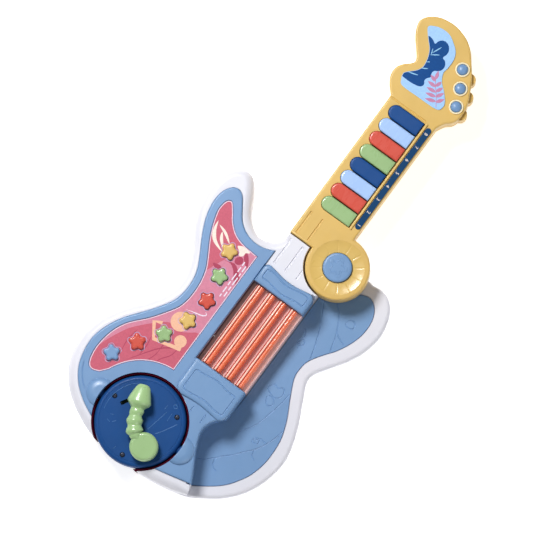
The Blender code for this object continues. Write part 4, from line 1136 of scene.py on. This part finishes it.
def lever():
    """Bent ribbed arm between a plump tapering tip and a round flat base."""
    base = loft("lever_fine", circle(LEVER, 12.2, 96), [
        (DISC_FACE + 0.4, 0.5), (DISC_FACE + 0.9, 0), (51.2, 0), (52.4, 0.3), (53.3, 1.0), (53.8, 1.8), (54, 2.8),
    ])
    arm = bent_rod("arm", [
        (-21.5, 8.7, 160, 3.0), (-24.5, 9.5, 156, 4.0), (-26.6, 10.2, 150, 5.0), (-28.2, 11.1, 141, 5.2),
        (-29.0, 11.9, 137, 6.6), (-30.1, 13.0, 131, 7.5), (-31.2, 14.4, 129, 7.0), (-32.9, 16.7, 127, 5.8),
        (-33.9, 18.2, 125, 6.5),
        (-35.2, 20.1, 123, 7.1), (-35.9, 21.3, 121, 6.6), (-37.1, 23.8, 119, 5.4), (-37.7, 25.7, 117, 5.9),
        (-38.2, 27.3, 116, 6.2), (-38.7, 28.6, 114, 5.9), (-39.2, 29.9, 113, 5.8), (-39.7, 31.0, 112, 6.9),
        (-40.6, 33.2, 110, 9.3), (-41.2, 34.7, 110, 10.1), (-41.7, 36.0, 110, 10.05), (-43.3, 40.4, 110, 8.6),
        (-44.7, 44.4, 110, 7.1), (-45.5, 46.9, 110, 6.0), (-46.1, 48.7, 110, 4.4), (-46.3, 49.3, 110, 2.6),
    ], 48, 0.8)
    spot = arc(LEVER, LEVER_SLOT_RADIUS, LEVER_REST_DEG, LEVER_REST_DEG, 1)[0]
    pin = loft("pin", circle(spot, 1.1, 16), [(DISC_FACE - 4, 0), (LEVER_AXIS_Z - 4, 0)])
    stem = loft("stem", circle(LEVER, 3.0, 24), [(DISC_FACE - 4, 0), (DISC_FACE + 4, 0)])
    join(base, arm, pin, stem)
    show(base, "lever", "lever_green", "lever", 28)


# ---------------------------------------------------------------- neck

def neck_shells():
    outline = neck_outline()
    back = loft("neck_back_fine", outline, [
        (NECK_BOTTOM, 1.4), (17.7, 0.85), (18.1, 0.4), (18.9, 0), (NECK_PARTING - 0.7, 0),
        (NECK_PARTING - GAP, 0.3),
    ])
    peg_levels = [(19.5, 0.8), (19.8, 0.3), (20.3, 0), (27.3, 0), (27.7, 0.3)]
    join(back, discs("pegs", PEGS, PEG_RADIUS, 40, peg_levels))
    cut(back, loft("cavity", inset(outline, WALL), [(NECK_BOTTOM + 2.4, 0), (40, 0)]),
        loft("pivot_hole", circle(HUB, PIVOT_HOLE_RADIUS), [(10, 0), (40, 0)]))
    show(back, "neck", "yellow", "neck_back_shell")

    levels = [(NECK_PARTING, 0.3), (NECK_PARTING + 0.4, 0), *rounding(0, NECK_TOP, 1.7, 7)[1:]]
    front = loft("neck_front_fine", outline, levels)
    bar_levels = [(40, 0), (42.8, 0), (43.1, 0.15), (43.2, 0.4)]
    bar = loft("key_bar", rectangle(13.6, 15.4, 257.6, 368.4), bar_levels)
    collars = discs("collars", HEAD_BUTTONS, 6.4, 48, [(41, 0), (42.5, 0), (42.75, 0.3)])
    peg_levels = [(28, 0.3), (28.4, 0), (36.6, 0), (37.2, 0.3), (37.5, 0.9)]
    join(front, bar, collars, discs("peg_tops", PEGS, PEG_RADIUS, 40, peg_levels))
    slot_low = FIRST_KEY_Y - KEY_PITCH / 2
    slot = [(KEY_RIGHT + 0.5, slot_low), (KEY_RIGHT + 0.5, slot_low + 8 * KEY_PITCH)]
    for number in reversed(range(8)):
        middle = (KEY_LEFT + KEY_HALF_WIDTH, FIRST_KEY_Y + KEY_PITCH * number)
        slot += arc(middle, KEY_PITCH / 2, 90, 270, 18)[:-1]
    slot.append((KEY_LEFT + KEY_HALF_WIDTH, slot_low))
    grooves = beads("neck_grooves", [
        [(-20.5, 228.8), (-20.5, 251)], [(-8.7, 228.8), (-8.7, 251)], [(-25.4, 369.2), (12.6, 369.4)],
    ], 0.95, NECK_TOP + 0.1)
    cut(front, loft("cavity", inset(outline, WALL), [(10, 0), (NECK_TOP - 2.6, 0)]),
        loft("key_slot", slot, THROUGH), loft("hub_dish", circle(HUB, 23.4, 96), [(40.2, 0.2), (60, 0)]),
        loft("button_hole", circle(HUB, 12.9, 64), THROUGH),
        discs("holes", HEAD_BUTTONS, 5.0, 40, THROUGH), grooves)
    show(front, "neck", "yellow", "neck_front_shell")
    rims = discs("button_rims", HEAD_BUTTONS, 6.2, 48, [(42.5, 0), (42.9, 0), (43.1, 0.25)])
    cut(rims, discs("insides", HEAD_BUTTONS, 4.95, 48, THROUGH))
    show(rims, "neck", "pale_yellow")


def hub_dish():
    """Shallow dish round the hub's button, with petals parted by fine grooves."""
    inner, outer, petals, turns, steps = 12.95, 23.45, 12, 240, 16
    bm = bmesh.new()
    rings = []
    for step in range(steps + 1):
        share = step / steps
        radius = inner + (outer - inner) * share
        ring = []
        for turn in range(turns):
            angle = math.tau * turn / turns
            off = (angle * petals / math.tau + 0.35) % 1 - 0.5
            gap = abs(off) * math.tau * radius / petals
            lift = 1.5 * share ** 2.3 + 0.05 * (1 - (2 * off) ** 2) * math.sin(math.pi * share)
            groove = 0.24 * math.exp(-((gap / 0.4) ** 2)) * min(1, 5 * share) * min(1, 5 * (1 - share))
            spot = (HUB[0] + radius * math.cos(angle), HUB[1] + radius * math.sin(angle))
            ring.append((*spot, 40.5 + lift - groove))
        rings.append(ring)
    bottom = [[(x, y, 40.1) for x, y, _ in ring] for ring in (rings[0], rings[-1])]
    around = [bottom[0], *rings, bottom[1]]
    around = [[bm.verts.new(point) for point in ring] for ring in around]
    for near, far in zip(around, around[1:] + around[:1]):
        for index in range(turns):
            after = (index + 1) % turns
            bm.faces.new((near[index], far[index], far[after], near[after]))
    bmesh.ops.recalc_face_normals(bm, faces=bm.faces)
    show(solid("hub_dish_fine", bm), "neck", "yellow_gloss", angle=70)


def keys_and_buttons():
    for number in range(8):
        y = FIRST_KEY_Y + KEY_PITCH * number
        end = arc((KEY_LEFT + KEY_HALF_WIDTH, y), KEY_HALF_WIDTH, 90, 270, 28)
        outline = [(KEY_RIGHT, y - KEY_HALF_WIDTH), (KEY_RIGHT, y + KEY_HALF_WIDTH), *end]
        levels = [(39.8, 0), (43.0, 0), (43.5, 0.1), (43.9, 0.35), (44.2, 0.75), (44.36, 1.25), (44.4, 1.9)]
        name, finish = f"key_{number + 1}", KEY_FINISHES[number % 4]
        show(loft(f"piano_{name}", outline, levels), name, finish, name)
    for number, middle in enumerate(HEAD_BUTTONS, 1):
        levels = [(38.6, 0), (42.6, 0), *bulge(42.6, 2.8, 4.6, range(10, 100, 10))]
        dome = loft(f"dome_{number}", circle(middle, 4.7, 48), levels)
        show(dome, f"head_button_{number}", "blue", f"head_button_{number}", angle=60)
    levels = [(36.5, 0), (42.0, 0), (42.6, 0.25), (43.0, 0.7), (43.2, 1.3), (43.3, 2.2)]
    button = loft("hub_button_fine", circle(HUB, 12.5, 96), levels)
    join(button, loft("relief", star(HUB, 8.6, 96, 0.62), [(42, 0), (43.4, 0), (43.6, 0.35)]))
    cut(button, beads("scores", [shut(star(HUB, 6.2, 96, 0.6))], 0.22, 43.6))
    show(button, "hub_button", "blue", "hub_button", angle=50)


# ---------------------------------------------------------------- pieces kept from the CAD

KEPT = {
    "steel": (
        "battery_1", "battery_2", "battery_3", "body_screw_1", "body_screw_2", "body_screw_3", "body_screw_4",
        "pivot_retaining_plate", "pivot_screw",
    ),
    "white": ("battery_cover", "fold_pivot_post", "trunnion_cradle_left", "trunnion_cradle_right"),
    "board": ("disc_circuit_board", "key_circuit_board", "main_circuit_board"),
    "black": ("power_switch_knob", "speaker"),
}


def kept_nodes():
    for finish, names in KEPT.items():
        for name in names:
            materials = frame["nodes"][name].data.materials
            materials.clear()
            materials.append(MATERIALS[finish])


# ---------------------------------------------------------------- stage

def stage():
    half, below = 6.0, -0.0003
    mesh = bpy.data.meshes.new("floor")
    bm = bmesh.new()
    corners = ((-half, -half), (half, -half), (half, half), (-half, half))
    bm.faces.new([bm.verts.new((x, y, below)) for x, y in corners])
    bm.to_mesh(mesh)
    bm.free()
    floor = placed("floor", mesh)
    nodes = Nodes("floor_white")
    white = (0.93, 0.93, 0.93)
    stops = [(0.3, tuple(0.985 * c for c in white)), (0.7, white)]
    nodes.feed("Base Color", nodes.ramp(nodes.noise(2, 2), stops))
    nodes.set(Roughness=0.9, Emission_Color=(*white, 1), Emission_Strength=0.75)
    mesh.materials.append(nodes.material)


def area_light(name, place, target, size, power):
    light = bpy.data.lights.new(name, "AREA")
    light.shape = "DISK"
    light.size = size
    light.energy = power
    obj = placed(name, light)
    obj.location = place
    obj.rotation_mode = "QUATERNION"
    obj.rotation_quaternion = (Vector(target) - Vector(place)).to_track_quat("-Z", "Y")


def lights():
    area_light("key", (-0.64, 0.2, 1.15), (0, 0.02, 0.03), 0.4, 16.0)
    area_light("fill", (1.5, -0.9, 1.3), (0, 0, 0.03), 1.2, 9)
    world = bpy.data.worlds.new("studio")
    world.use_nodes = True
    background = world.node_tree.nodes["Background"].inputs
    background["Color"].default_value = (1, 1, 1, 1)
    background["Strength"].default_value = 0.17
    bpy.context.scene.world = world
    bpy.context.scene.view_settings.view_transform = "Standard"


def camera():
    """Looks nearly straight down, from a little to the right and the bottom of the toy."""
    data = bpy.data.cameras.new("camera")
    data.sensor_width = 36
    data.lens = 310.8
    data.clip_start = 0.05
    data.clip_end = 20
    obj = placed("camera", data)
    target = Vector((0.00045, -0.02755, 0.042))
    lean_right, lean_down, roll = map(math.radians, (4.77, 4.32, 36.30))
    away = Vector((math.tan(lean_right), -math.tan(lean_down), 1)).normalized()
    up = Vector((-math.sin(roll), math.cos(roll), 0))
    right = up.cross(away).normalized()
    up = away.cross(right)
    distance = 4.0
    place = target + away * distance
    obj.matrix_world = Matrix((
        (right.x, up.x, away.x, place.x), (right.y, up.y, away.y, place.y),
        (right.z, up.z, away.z, place.z), (0, 0, 0, 1),
    ))
    bpy.context.scene.camera = obj


back_shell()
front_shell()
top_panel()
deck()
blocks()
strum_bars()
star_buttons()
light_ring()
body_label()
disc()
lever()
neck_shells()
hub_dish()
keys_and_buttons()
head_label()
key_strip()
kept_nodes()
stage()
lights()
camera()
